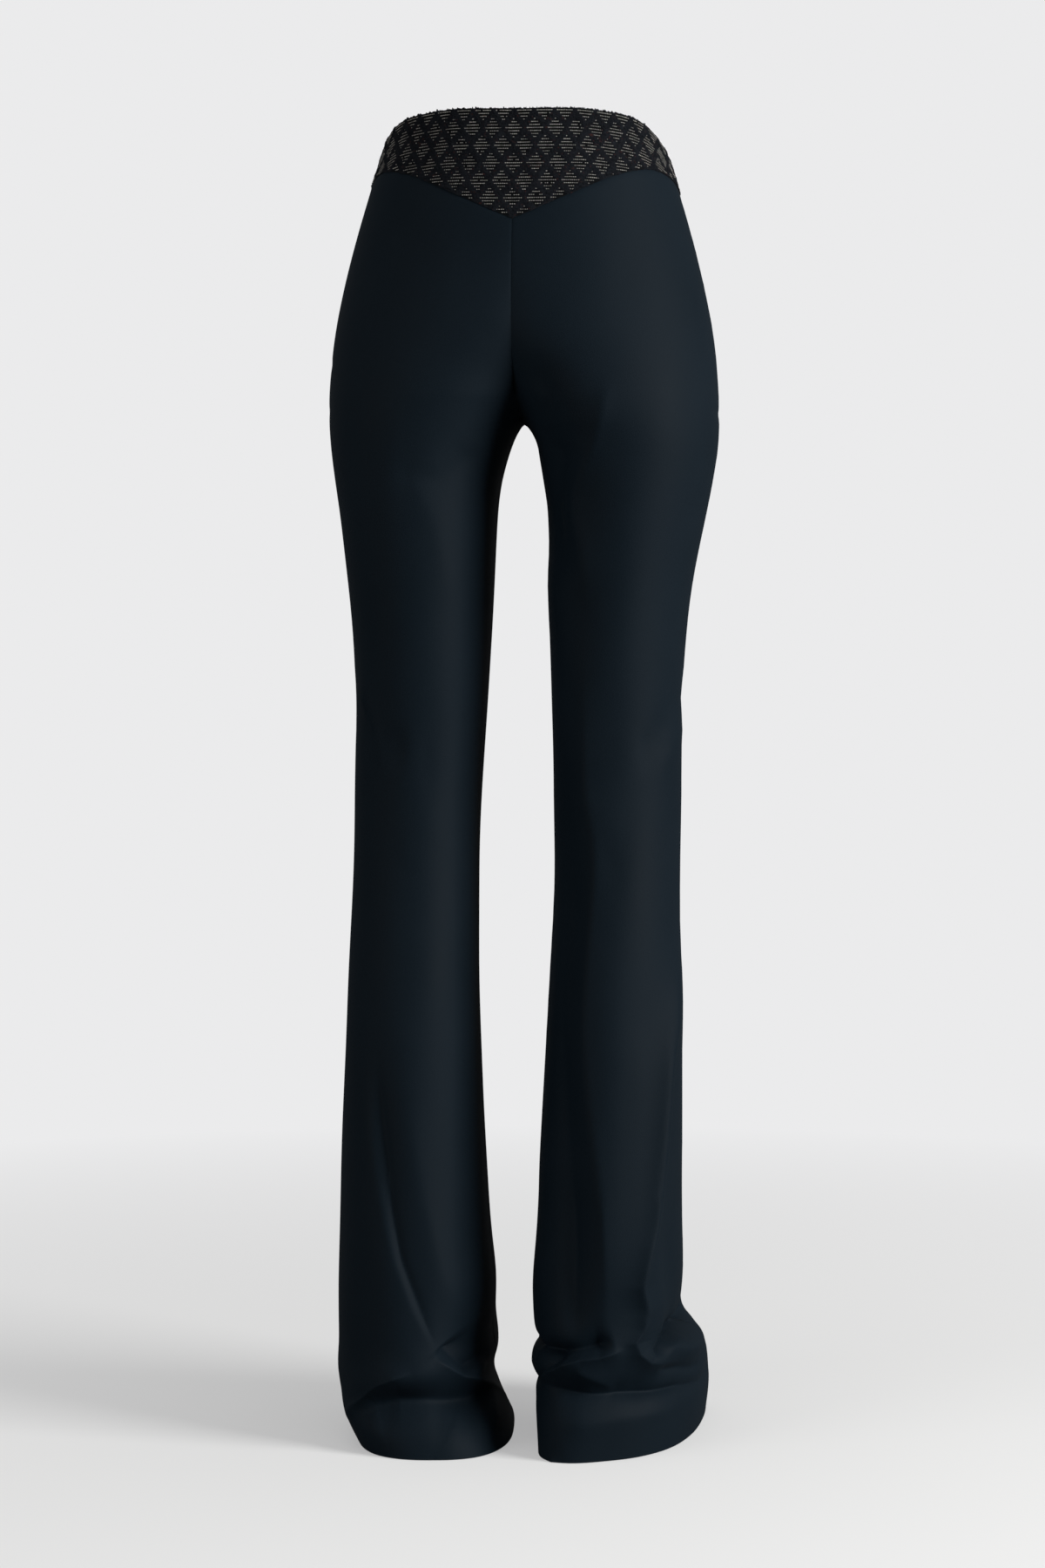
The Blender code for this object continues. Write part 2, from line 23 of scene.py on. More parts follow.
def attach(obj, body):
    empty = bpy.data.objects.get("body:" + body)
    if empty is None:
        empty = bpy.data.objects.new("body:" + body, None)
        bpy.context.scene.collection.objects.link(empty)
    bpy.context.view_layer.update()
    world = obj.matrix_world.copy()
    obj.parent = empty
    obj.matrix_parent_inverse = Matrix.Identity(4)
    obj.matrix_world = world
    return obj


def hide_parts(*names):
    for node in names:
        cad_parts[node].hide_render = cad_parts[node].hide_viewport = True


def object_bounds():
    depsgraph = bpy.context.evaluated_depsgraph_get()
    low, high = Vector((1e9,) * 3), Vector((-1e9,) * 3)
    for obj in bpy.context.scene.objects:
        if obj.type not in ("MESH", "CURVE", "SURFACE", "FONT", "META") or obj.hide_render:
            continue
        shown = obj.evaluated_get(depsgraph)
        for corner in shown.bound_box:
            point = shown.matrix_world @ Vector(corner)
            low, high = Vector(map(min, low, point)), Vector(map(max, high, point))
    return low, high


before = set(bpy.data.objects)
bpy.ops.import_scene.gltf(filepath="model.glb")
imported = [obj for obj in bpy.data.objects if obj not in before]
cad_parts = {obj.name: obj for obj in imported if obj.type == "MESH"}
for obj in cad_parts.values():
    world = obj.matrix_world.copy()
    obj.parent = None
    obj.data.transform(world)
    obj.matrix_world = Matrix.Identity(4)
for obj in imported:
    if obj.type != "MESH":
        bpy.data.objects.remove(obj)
CAD_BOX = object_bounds()
LOG = logging.getLogger("flared_trousers")

BODY = "root"
FLOOR_Z = CAD_BOX[0].z
MM = 0.001
WELD = 2e-5                        # points nearer than this are one
RIM_ANGLE = math.radians(62)       # a wall's skins meet its rim at more than this
CORNER_ANGLE = math.radians(35)    # an edge that turns by more than this has a corner


class Face(Enum):
    """Side of a leg that a crease lies on."""

    BACK = "back"
    FRONT = "front"
    OUTER = "outer"
    INNER = "inner"


class Side(Enum):
    """Side of the wearer. The value turns a distance from the centre plane into x."""

    LEFT = 1.0
    RIGHT = -1.0


class Crease(NamedTuple):
    """A ridge (height above 0) or trough (below 0) of the cloth along a path, in millimetres.

    The path's points are (distance from the centre plane, z) on a back or front, and (y, z) on an
    outer or inner side of a leg. The crease falls to a third of its height in its width, and crest
    is how wide its top is rounded.
    """

    face: Face
    width: float
    height: float
    path: tuple[tuple[float, float], ...]
    crest: float = 3


BACK, FRONT, OUTER, INNER = Face.BACK, Face.FRONT, Face.OUTER, Face.INNER

LEFT_CREASES = (
    # the long valley that swings down to the break over the foot, and the lit cloth beside it
    Crease(BACK, 4.2, -4, ((120, -760), (112, -830), (102, -900), (95, -935), (84, -964), (73, -992),
           (62, -1020)), 1),
    Crease(BACK, 6, 1.8, ((128, -790), (120, -850), (109, -905), (100, -938), (90, -964), (80, -988),
           (65, -1020)), 1.5),
    Crease(BACK, 14, 1.8, ((92, -800), (80, -870), (62, -945), (46, -990))),
    # the break: a crisp lip, the hollow over it, the shelf beside it and the shade under both
    Crease(BACK, 5.5, 5.4, ((70, -1012), (62, -1022), (54, -1028), (40, -1042), (31, -1058), (26, -1078),
           (20, -1100)), 0.8),
    Crease(BACK, 8, -11, ((60, -1006), (52, -1017), (44, -1026), (33, -1038)), 2.5),
    Crease(BACK, 4.5, 4.4, ((150, -1084), (139, -1066), (133, -1059), (123, -1049), (114, -1042),
           (102, -1036), (84, -1029)), 0.8),
    Crease(BACK, 9, -9.2, ((140, -1074), (122, -1062), (99, -1055), (68, -1057), (43, -1063),
           (28, -1078)), 5),
    Crease(BACK, 14, -3.4, ((124, -1074), (86, -1070), (46, -1078)), 6),
    # small folds at the knee
    Crease(BACK, 5, 3.6, ((138, -448), (127, -470), (120, -494), (113, -518)), 1.5),
    Crease(BACK, 6, -3.4, ((142, -470), (130, -490), (112, -502), (88, -508)), 2),
    Crease(BACK, 10, 1.1, ((100, -594), (82, -576), (62, -560))),
    Crease(BACK, 8, -0.9, ((62, -470), (78, -500), (72, -548))),
    # under the seat
    Crease(BACK, 8, 1.2, ((15, -290), (19, -345), (22, -432))),
    Crease(BACK, 14, -2.2, ((26, -252), (60, -280), (104, -274))),
    Crease(BACK, 12, 1.2, ((90, -262), (66, -316), (51, -392))),
    Crease(BACK, 16, 1.8, ((0, -130), (0, -190), (0, -250)), 6),
    # front, outer and inner side
    Crease(FRONT, 6, 4, ((40, -1008), (85, -1026), (134, -1012)), 1.5),
    Crease(FRONT, 7, -3.6, ((50, -984), (90, -1001), (128, -986)), 2),
    Crease(FRONT, 6, -3.8, ((34, -1050), (88, -1060), (140, -1048)), 2),
    Crease(FRONT, 8, -2.4, ((100, -780), (104, -870), (86, -970)), 2),
    Crease(FRONT, 8, 1.8, ((118, -800), (120, -880), (106, -966))),
    Crease(FRONT, 8, 2, ((16, -240), (46, -214), (92, -194))),
    Crease(FRONT, 8, -1.6, ((22, -264), (58, -240), (104, -230))),
    Crease(FRONT, 6, 2, ((54, -484), (92, -500), (134, -486)), 2),
    Crease(FRONT, 8, -1.6, ((60, -520), (96, -534), (128, -522))),
    Crease(OUTER, 8, -1.2, ((50, -1066), (0, -1058), (-74, -1060)), 2),
    Crease(OUTER, 5, -1.8, ((60, -456), (20, -461), (-34, -456)), 1.5),
    Crease(OUTER, 3, -0.8, ((50, -184), (10, -186), (-30, -182)), 1),
    Crease(OUTER, 3, -0.7, ((50, -223), (10, -222), (-30, -226)), 1),
    Crease(INNER, 5.5, 2.6, ((70, -1040), (6, -1060), (-37, -1078), (-66, -1094)), 1),
    Crease(INNER, 8, -1.8, ((50, -1028), (0, -1042), (-60, -1056)), 3),
)
RIGHT_CREASES = (
    # the shaded hollow under the seat, whose outer rim catches the light
    Crease(BACK, 11, 4.6, ((84, -190), (64, -260), (51, -291), (49, -311), (58, -337), (62, -390)), 1.5),
    Crease(BACK, 11, -6.6, ((12, -172), (33, -212), (37, -258), (30, -301), (36, -375)), 4),
    Crease(BACK, 16, 1.8, ((0, -130), (0, -190), (0, -250)), 6),
    # the dark band down the inner back, with its rim
    Crease(BACK, 15, 6.2, ((56, -400), (60, -537), (68, -601), (62, -676), (58, -741), (64, -811),
           (75, -890), (78, -959), (77, -1020)), 1.2),
    Crease(BACK, 15, -6.8, ((40, -540), (34, -740), (44, -880), (50, -1010)), 5),
    Crease(BACK, 13, -4.6, ((40, -860), (46, -940), (50, -1006)), 5),
    # the sharp ridge that comes down the outer back, lit on its outer flank, and turns out over the lobe
    Crease(BACK, 7, 9.8, ((134, -650), (128, -735), (123, -768), (119, -840), (112, -910), (109, -924),
           (106, -938), (103, -955), (107, -975), (104, -991), (100, -1002), (104, -1012), (113, -1022),
           (128, -1027), (152, -1031)), 0.8),
    Crease(BACK, 20, 2.6, ((104, -720), (102, -850), (96, -960), (94, -1000)), 5),
    Crease(BACK, 4.5, -9.5, ((152, -994), (133, -1002), (126, -1006), (117, -1019)), 0.8),
    Crease(BACK, 7, 3.4, ((128, -1008), (140, -1015), (156, -1026)), 2),
    Crease(BACK, 5, -3.6, ((118, -1030), (136, -1034), (156, -1044)), 1.5),
    # the break: its lip, the hollow over it and the folds under it
    Crease(BACK, 5.2, 6.2, ((14, -1050), (20, -1040), (27, -1030), (40, -1021), (56, -1015), (73, -1013),
           (96, -1006)), 0.8),
    Crease(BACK, 7.2, -12.5, ((16, -1010), (36, -1011), (56, -1007), (86, -1000)), 2.5),
    Crease(BACK, 3.5, -4.8, ((6, -1010), (18, -1011), (30, -1012), (42, -1018)), 0.8),
    Crease(BACK, 3.5, -5.2, ((10, -1052), (20, -1036), (28, -1025), (40, -1014)), 0.8),
    Crease(BACK, 6, -7.6, ((16, -1036), (28, -1041), (43, -1045), (62, -1047), (87, -1047), (110, -1049),
           (136, -1051), (160, -1060)), 1.2),
    Crease(BACK, 12, -3, ((30, -1038), (76, -1041), (120, -1043)), 4),
    Crease(BACK, 5.5, 2.2, ((50, -1024), (66, -1032), (86, -1043)), 2),
    Crease(BACK, 12, 2.2, ((40, -1073), (90, -1067), (142, -1068)), 4),
    # knee and inseam
    Crease(BACK, 5, 3.6, ((144, -450), (136, -480), (129, -500), (117, -528)), 1.5),
    Crease(BACK, 7, -3.4, ((136, -462), (122, -492), (102, -514)), 2),
    Crease(BACK, 10, 1.3, ((36, -540), (62, -552), (92, -574))),
    Crease(BACK, 10, -1.1, ((56, -562), (74, -590), (92, -626))),
    Crease(BACK, 6, 1.2, ((28, -336), (31, -370), (34, -412))),
    # front, outer and inner side
    Crease(FRONT, 6, 4, ((28, -1020), (70, -1032), (122, -1010)), 1.5),
    Crease(FRONT, 7, -3.6, ((34, -996), (74, -1008), (114, -986)), 2),
    Crease(FRONT, 6, -3.8, ((22, -1052), (78, -1063), (130, -1047)), 2),
    Crease(FRONT, 8, -2.4, ((56, -770), (52, -870), (72, -970)), 2),
    Crease(FRONT, 8, 1.8, ((76, -790), (70, -880), (92, -962))),
    Crease(FRONT, 8, 2, ((18, -244), (50, -216), (96, -192))),
    Crease(FRONT, 8, -1.6, ((24, -268), (56, -244), (102, -228))),
    Crease(FRONT, 6, 2, ((46, -490), (84, -507), (126, -492)), 2),
    Crease(FRONT, 8, -1.6, ((50, -526), (88, -540), (120, -530))),
    Crease(OUTER, 5, -7.5, ((60, -996), (20, -1003), (-20, -1003), (-60, -998)), 1.2),
    Crease(OUTER, 9, 2.4, ((50, -1020), (0, -1022), (-66, -1016)), 3),
    Crease(OUTER, 6, -2, ((40, -1053), (-18, -1057), (-70, -1050)), 2),
    Crease(OUTER, 6, -2.6, ((60, -458), (20, -463), (-34, -458)), 1.5),
    Crease(OUTER, 3, -0.8, ((50, -222), (10, -225), (-30, -222)), 1),
    Crease(INNER, 4.5, -6.2, ((80, -1011), (50, -1012), (-30, -1018)), 1.2),
    Crease(INNER, 7, 1.4, ((60, -1030), (20, -1034), (-50, -1032)), 2),
)


# ------------------------------------------------------------------ finishes

PATCH_RANGE = (0.32, 0.68)          # the part of each noise that is stretched to 0 to 1
FLECK_RANGE = (0.30, 0.72)
PATCH_SHARE = 0.45                  # share of the slow patches in a dye, the rest is flecks
PEBBLE_SHARE = 0.6                  # share of the pebbles in a yarn's relief, the rest is thread


class Lattice:
    """Sizes of the tweed's staggered lozenges. Columns are the solids' own, from the centre out."""

    COLUMNS = 20                   # columns from the centre to a side seam; a lozenge on every second
    COLUMN_WIDTH = 0.0083
    PITCH = 0.0145                 # height from one row of lozenges to the next
    FIRST = 0.0018                 # depth of the first row's middle under the top edge
    HALF_WIDTH_COLUMNS = 0.80
    HALF_HEIGHT = 0.0088
    WEFT_PITCH = 0.00250           # metallic lines across a lozenge
    WEFT_LINES = 7
    BEAD_PITCH = 0.00148           # the metallic yarn shows as short beads along a line
    LIFT = 100.0                   # an even number that makes every column and step positive
    EDGE = (-0.05, 0.25)           # a lozenge's mask runs from 0 to 1 over this share of it

    @classmethod
    def step(cls, depth: float | np.ndarray) -> float | np.ndarray:
        """Rows of lozenges from the first one down to a depth."""
        return (depth - cls.FIRST) / cls.PITCH


def new_group(name: str, inputs: dict[str, object], outputs: dict[str, str]) -> bpy.types.NodeTree:
    """Start a shader node group with named sockets.

    Args:
        name: name of the group.
        inputs: socket name to default value, a number or a colour, or None for a vector.
        outputs: socket name to socket type, such as NodeSocketFloat.

    Returns:
        The group, with its input and output nodes already in it.
    """
    group = bpy.data.node_groups.new(name, "ShaderNodeTree")
    for label, value in inputs.items():
        if value is None:
            kind = "NodeSocketVector"
        elif isinstance(value, tuple):
            kind = "NodeSocketColor"
        else:
            kind = "NodeSocketFloat"
        socket = group.interface.new_socket(label, in_out="INPUT", socket_type=kind)
        if value is not None:
            socket.default_value = value
    for label, kind in outputs.items():
        group.interface.new_socket(label, in_out="OUTPUT", socket_type=kind)
    group.nodes.new("NodeGroupInput")
    group.nodes.new("NodeGroupOutput")
    return group


class Nodes:
    """Short ways to add nodes to a tree and join them."""

    def __init__(self, tree: bpy.types.NodeTree) -> None:
        """Keep the tree that the nodes go into."""
        self.tree = tree

    def join(self, source: object, target: bpy.types.NodeSocket) -> None:
        """Link a socket to another, or set a plain value on it.

        Args:
            source: a socket, or a plain value, or None to leave the target alone.
            target: the input socket.
        """
        if isinstance(source, bpy.types.NodeSocket):
            self.tree.links.new(source, target)
        elif source is not None:
            target.default_value = source

    def math(self, operation: str, *values: object) -> bpy.types.NodeSocket:
        """Add a Math node.

        Args:
            operation: Blender's name of the operation.
            values: one socket or number for each input.

        Returns:
            The node's result.
        """
        node = self.tree.nodes.new("ShaderNodeMath")
        node.operation = operation
        for value, socket in zip(values, node.inputs):
            self.join(value, socket)
        return node.outputs[0]

    def noise(self, vector: object, scale: object, detail: float,
              rough: float = 0.5) -> bpy.types.NodeSocket:
        """Add a noise texture and return its value.

        Args:
            vector: place on the texture.
            scale: its scale.
            detail: its octaves.
            rough: how strong the finer octaves are.

        Returns:
            The noise, 0 to 1.
        """
        node = self.tree.nodes.new("ShaderNodeTexNoise")
        self.join(vector, node.inputs["Vector"])
        self.join(scale, node.inputs["Scale"])
        node.inputs["Detail"].default_value = detail
        node.inputs["Roughness"].default_value = rough
        return node.outputs["Fac"]

    def ramp(self, value: object, low: float, high: float) -> bpy.types.NodeSocket:
        """Stretch a value so that low becomes 0 and high becomes 1.

        Args:
            value: what is stretched.
            low: what becomes 0.
            high: what becomes 1.

        Returns:
            The stretched value, held between 0 and 1.
        """
        node = self.tree.nodes.new("ShaderNodeMapRange")
        self.join(value, node.inputs["Value"])
        node.inputs["From Min"].default_value = low
        node.inputs["From Max"].default_value = high
        return node.outputs["Result"]

    def mix(self, share: object, first: object, second: object) -> bpy.types.NodeSocket:
        """Mix two colours.

        Args:
            share: share of the second colour.
            first: first colour.
            second: second colour.

        Returns:
            The mixed colour.
        """
        node = self.tree.nodes.new("ShaderNodeMix")
        node.data_type = "RGBA"
        self.join(share, node.inputs["Factor"])
        colours = [socket for socket in node.inputs if socket.type == "RGBA"]
        self.join(first, colours[0])
        self.join(second, colours[1])
        return next(socket for socket in node.outputs if socket.type == "RGBA")

    def bump(self, height: object, distance: float, strength: float = 1.0) -> bpy.types.NodeSocket:
        """Turn a height into a normal.

        Args:
            height: the relief, 0 to 1.
            distance: the relief's depth in metres.
            strength: how strongly it shows.

        Returns:
            The normal.
        """
        node = self.tree.nodes.new("ShaderNodeBump")
        node.inputs["Distance"].default_value = distance
        node.inputs["Strength"].default_value = strength
        self.join(height, node.inputs["Height"])
        return node.outputs["Normal"]

    def group(self, group: bpy.types.NodeTree, **values: object) -> bpy.types.Node:
        """Place a shared group, with its inputs set or linked by name.

        Args:
            group: the shared group.
            values: input name to socket or plain value.

        Returns:
            The placed group node.
        """
        node = self.tree.nodes.new("ShaderNodeGroup")
        node.node_tree = group
        for label, value in values.items():
            self.join(value, node.inputs[label])
        return node


def uneven_dye_group() -> bpy.types.NodeTree:
    """Build the group that two cloths share: a base colour that varies as dyed yarn does.

    Returns:
        A group with the inputs Vector, Light, Dark, Patch, Fleck and the outputs Color and Value.
    """
    group = new_group(
        "uneven_dye",
        {"Vector": None, "Dark": (0.0, 0.0, 0.0, 1.0), "Light": (1.0, 1.0, 1.0, 1.0),
         "Patch": 6.0, "Fleck": 900.0},
        {"Color": "NodeSocketColor", "Value": "NodeSocketFloat"})
    nodes = Nodes(group)
    entry = group.nodes["Group Input"].outputs
    patch = nodes.ramp(nodes.noise(entry["Vector"], entry["Patch"], 3.0), *PATCH_RANGE)
    fleck = nodes.ramp(nodes.noise(entry["Vector"], entry["Fleck"], 2.0), *FLECK_RANGE)
    value = nodes.math("ADD", nodes.math("MULTIPLY", patch, PATCH_SHARE),
                       nodes.math("MULTIPLY", fleck, 1 - PATCH_SHARE))
    leave = group.nodes["Group Output"].inputs
    nodes.join(nodes.mix(value, entry["Dark"], entry["Light"]), leave["Color"])
    nodes.join(value, leave["Value"])
    return group


def twisted_yarn_group() -> bpy.types.NodeTree:
    """Build the fine pebbled relief of highly twisted or looped yarn.

    Returns:
        A group with the inputs Vector, Pebble and Thread (scales) and the output Height.
    """
    group = new_group("twisted_yarn", {"Vector": None, "Pebble": 700.0, "Thread": 1800.0},
                      {"Height": "NodeSocketFloat"})
    nodes = Nodes(group)
    entry = group.nodes["Group Input"].outputs
    cells = group.nodes.new("ShaderNodeTexVoronoi")
    nodes.join(entry["Vector"], cells.inputs["Vector"])
    nodes.join(entry["Pebble"], cells.inputs["Scale"])
    pebble = nodes.math("SUBTRACT", 1.0, cells.outputs["Distance"])
    thread = nodes.noise(entry["Vector"], entry["Thread"], 2.0, 0.6)
    height = nodes.math("ADD", nodes.math("MULTIPLY", pebble, PEBBLE_SHARE),
                        nodes.math("MULTIPLY", thread, 1 - PEBBLE_SHARE))
    nodes.join(height, group.nodes["Group Output"].inputs["Height"])
    return group


def lozenge_group() -> bpy.types.NodeTree:
    """Build the mask of staggered lozenges on a lattice map.

    Returns:
        A group with the input Vector (columns, steps) and the output Mask, 1 in a lozenge's middle.
    """
    group = new_group("lozenges", {"Vector": None}, {"Mask": "NodeSocketFloat"})
    nodes = Nodes(group)
    split = group.nodes.new("ShaderNodeSeparateXYZ")
    nodes.join(group.nodes["Group Input"].outputs["Vector"], split.inputs[0])
    column_gap = nodes.math("PINGPONG", nodes.math("ADD", split.outputs["X"], Lattice.LIFT + 1), 1.0)
    step_gap = nodes.math("PINGPONG", nodes.math("ADD", split.outputs["Y"], Lattice.LIFT), 1.0)
    masks = []
    for across, down in ((column_gap, step_gap),
                         (nodes.math("SUBTRACT", 1.0, column_gap), nodes.math("SUBTRACT", 1.0, step_gap))):
        reach = nodes.math("ADD", nodes.math("DIVIDE", across, Lattice.HALF_WIDTH_COLUMNS),
                           nodes.math("DIVIDE", down, Lattice.HALF_HEIGHT / Lattice.PITCH))
        masks.append(nodes.math("SUBTRACT", 1.0, reach))
    mask = nodes.math("MAXIMUM", *masks)
    nodes.join(nodes.ramp(mask, *Lattice.EDGE), group.nodes["Group Output"].inputs["Mask"])
    return group


def principled(name: str) -> tuple[bpy.types.Material, Nodes, bpy.types.Node]:
    """Start a material.

    Args:
        name: its name.

    Returns:
        The material, its node builder and its Principled BSDF.
    """
    material = bpy.data.materials.new(name)
    material.use_nodes = True
    nodes = Nodes(material.node_tree)
    return material, nodes, material.node_tree.nodes["Principled BSDF"]


@dataclass(frozen=True)
class CrepeFinish:
    """Matt black crepe: a fine dry grain, a blue cast and a faint sheen at grazing angles."""

    dark: tuple = (0.0020, 0.0052, 0.0084, 1.0)
    light: tuple = (0.0044, 0.0084, 0.0126, 1.0)
    rough_low: float = 0.60
    rough_high: float = 0.74
    specular: float = 0.060
    sheen: float = 0.006
    sheen_roughness: float = 0.45
    sheen_tint: tuple = (0.62, 0.74, 0.90, 1.0)
    patch: float = 9.0
    fleck: float = 2200.0
    pebble: float = 1600.0
    thread: float = 3400.0
    grain_depth: float = 0.00011

    def build(self, groups: dict[str, bpy.types.NodeTree]) -> bpy.types.Material:
        """Make the material from the shared groups.

        Args:
            groups: the shared node groups by name.

        Returns:
            The finish's material.
        """
        material, nodes, shader = principled("black_crepe")
        place = material.node_tree.nodes.new("ShaderNodeTexCoord").outputs["Object"]
        dye = nodes.group(groups["dye"], Vector=place, Dark=self.dark, Light=self.light,
                          Patch=self.patch, Fleck=self.fleck)
        nodes.join(dye.outputs["Color"], shader.inputs["Base Color"])
        spread = self.rough_high - self.rough_low
        rough = nodes.math("MULTIPLY_ADD", dye.outputs["Value"], spread, self.rough_low)
        nodes.join(rough, shader.inputs["Roughness"])
        yarn = nodes.group(groups["yarn"], Vector=place, Pebble=self.pebble, Thread=self.thread)
        nodes.join(nodes.bump(yarn.outputs["Height"], self.grain_depth), shader.inputs["Normal"])
        shader.inputs["Specular IOR Level"].default_value = self.specular
        shader.inputs["Sheen Weight"].default_value = self.sheen
        shader.inputs["Sheen Roughness"].default_value = self.sheen_roughness
        shader.inputs["Sheen Tint"].default_value = self.sheen_tint
        return material


@dataclass(frozen=True)
class BoucleFinish:
    """Black looped yarn of the lattice, with darker, flatter ground inside the lozenges."""

    dark: tuple = (0.0012, 0.0018, 0.0028, 1.0)
    light: tuple = (0.0080, 0.0095, 0.0125, 1.0)
    ground: tuple = (0.0014, 0.0018, 0.0024, 1.0)
    rust: tuple = (0.028, 0.010, 0.009, 1.0)
    roughness: float = 0.86
    specular: float = 0.06
    sheen: float = 0.012
    sheen_roughness: float = 0.5
    patch: float = 60.0
    fleck: float = 750.0
    rust_scale: float = 420.0
    rust_range: tuple[float, float] = (0.66, 0.72)      # only the noise's peaks are rust
    pebble: float = 820.0
    thread: float = 2200.0
    weft_relief: float = 0.25
    ground_share: float = 0.7                           # how much less looped a lozenge is
    loop_depth: float = 0.00055

    def build(self, groups: dict[str, bpy.types.NodeTree]) -> bpy.types.Material:
        """Make the material from the shared groups. The map's units are columns and steps.

        Args:
            groups: the shared node groups by name.

        Returns:
            The finish's material.
        """
        material, nodes, shader = principled("black_boucle")
        tree = material.node_tree
        lattice = tree.nodes.new("ShaderNodeUVMap")
        lattice.uv_map = YokeSheet.MAP
        place = tree.nodes.new("ShaderNodeTexCoord").outputs["Object"]
        mask = nodes.group(groups["lozenges"], Vector=lattice.outputs["UV"]).outputs["Mask"]
        dye = nodes.group(groups["dye"], Vector=place, Dark=self.dark, Light=self.light,
                          Patch=self.patch, Fleck=self.fleck)
        threads = nodes.ramp(nodes.noise(place, self.rust_scale, 1.0), *self.rust_range)
        looped = nodes.mix(threads, dye.outputs["Color"], self.rust)
        nodes.join(nodes.mix(mask, looped, self.ground), shader.inputs["Base Color"])
        shader.inputs["Roughness"].default_value = self.roughness
        yarn = nodes.group(groups["yarn"], Vector=place, Pebble=self.pebble, Thread=self.thread)
        split = tree.nodes.new("ShaderNodeSeparateXYZ")
        nodes.join(lattice.outputs["UV"], split.inputs[0])
        turns = 2 * math.pi * Lattice.PITCH / Lattice.WEFT_PITCH
        weft = nodes.math("SINE", nodes.math("MULTIPLY", split.outputs["Y"], turns))
        flat = nodes.math("MULTIPLY", nodes.math("MULTIPLY", weft, self.weft_relief), mask)
        open_part = nodes.math("SUBTRACT", 1.0, nodes.math("MULTIPLY", mask, self.ground_share))
        height = nodes.math("ADD", nodes.math("MULTIPLY", yarn.outputs["Height"], open_part), flat)
        nodes.join(nodes.bump(height, self.loop_depth), shader.inputs["Normal"])
        shader.inputs["Specular IOR Level"].default_value = self.specular
        shader.inputs["Sheen Weight"].default_value = self.sheen
        shader.inputs["Sheen Roughness"].default_value = self.sheen_roughness
        return material


@dataclass(frozen=True)
class YarnFinish:
    """Finish of single yarns that stand on the yoke: metallic weft, looped tufts, rust threads."""

    name: str
    dark: tuple
    light: tuple
    roughness: float
    metallic: float
    specular: float = 0.5
    rough_spread: float = 0.16
    patch: float = 160.0
    fleck: float = 900.0
    pebble: float = 2400.0
    thread: float = 4200.0
    relief: float = 0.0001
    relief_strength: float = 0.8

    def build(self, groups: dict[str, bpy.types.NodeTree]) -> bpy.types.Material:
        """Make the material from the shared groups.

        Args:
            groups: the shared node groups by name.

        Returns:
            The finish's material.
        """
        material, nodes, shader = principled(self.name)
        place = material.node_tree.nodes.new("ShaderNodeTexCoord").outputs["Object"]
        dye = nodes.group(groups["dye"], Vector=place, Dark=self.dark, Light=self.light,
                          Patch=self.patch, Fleck=self.fleck)
        nodes.join(dye.outputs["Color"], shader.inputs["Base Color"])
        rough = nodes.math("MULTIPLY_ADD", dye.outputs["Value"], self.rough_spread,
                           self.roughness - self.rough_spread / 2)
        nodes.join(rough, shader.inputs["Roughness"])
        yarn = nodes.group(groups["yarn"], Vector=place, Pebble=self.pebble, Thread=self.thread)
        bump = nodes.bump(yarn.outputs["Height"], self.relief, self.relief_strength)
        nodes.join(bump, shader.inputs["Normal"])
        shader.inputs["Metallic"].default_value = self.metallic
        shader.inputs["Specular IOR Level"].default_value = self.specular
        return material


METALLIC_WEFT = YarnFinish("champagne_metallic_weft", (0.16, 0.155, 0.145, 1.0), (0.62, 0.59, 0.54, 1.0),
                           0.40, 0.9)
LOOPED_TUFT = YarnFinish("black_looped_tuft", (0.0012, 0.0018, 0.0028, 1.0), (0.0095, 0.0112, 0.0145, 1.0),
                         0.85, 0.0, 0.07)
RUST_THREAD = YarnFinish("rust_thread", (0.020, 0.009, 0.008, 1.0), (0.060, 0.026, 0.022, 1.0),
                         0.75, 0.0, 0.15)


# ------------------------------------------------------------------ shared mesh work

def deselect_all() -> None:
    """Leave nothing selected, so that an operator acts on one piece only."""
    if bpy.context.object and bpy.context.object.mode != "OBJECT":
        bpy.ops.object.mode_set(mode="OBJECT")
    bpy.ops.object.select_all(action="DESELECT")


def select_only(piece: bpy.types.Object) -> None:
    """Select one piece and make it active.

    Args:
        piece: the object to select.
    """
    deselect_all()
    piece.select_set(True)
    bpy.context.view_layer.objects.active = piece


def apply_modifier(piece: bpy.types.Object, kind: str, **settings: object) -> None:
    """Add a modifier with these settings and apply it.

    Args:
        piece: the mesh object.
        kind: Blender's name of the modifier's type.
        settings: attribute name to value.
    """
    select_only(piece)
    modifier = piece.modifiers.new(kind.lower(), kind)
    for name, value in settings.items():
        setattr(modifier, name, value)
    bpy.ops.object.modifier_apply(modifier=modifier.name)


def link_mesh(name: str, mesh: bpy.types.Mesh) -> bpy.types.Object:
    """Put a mesh into the scene as an object at the origin.

    Args:
        name: the object's name.
        mesh: its mesh.

    Returns:
        The new object.
    """
    piece = bpy.data.objects.new(name, mesh)
    bpy.context.scene.collection.objects.link(piece)
    return piece


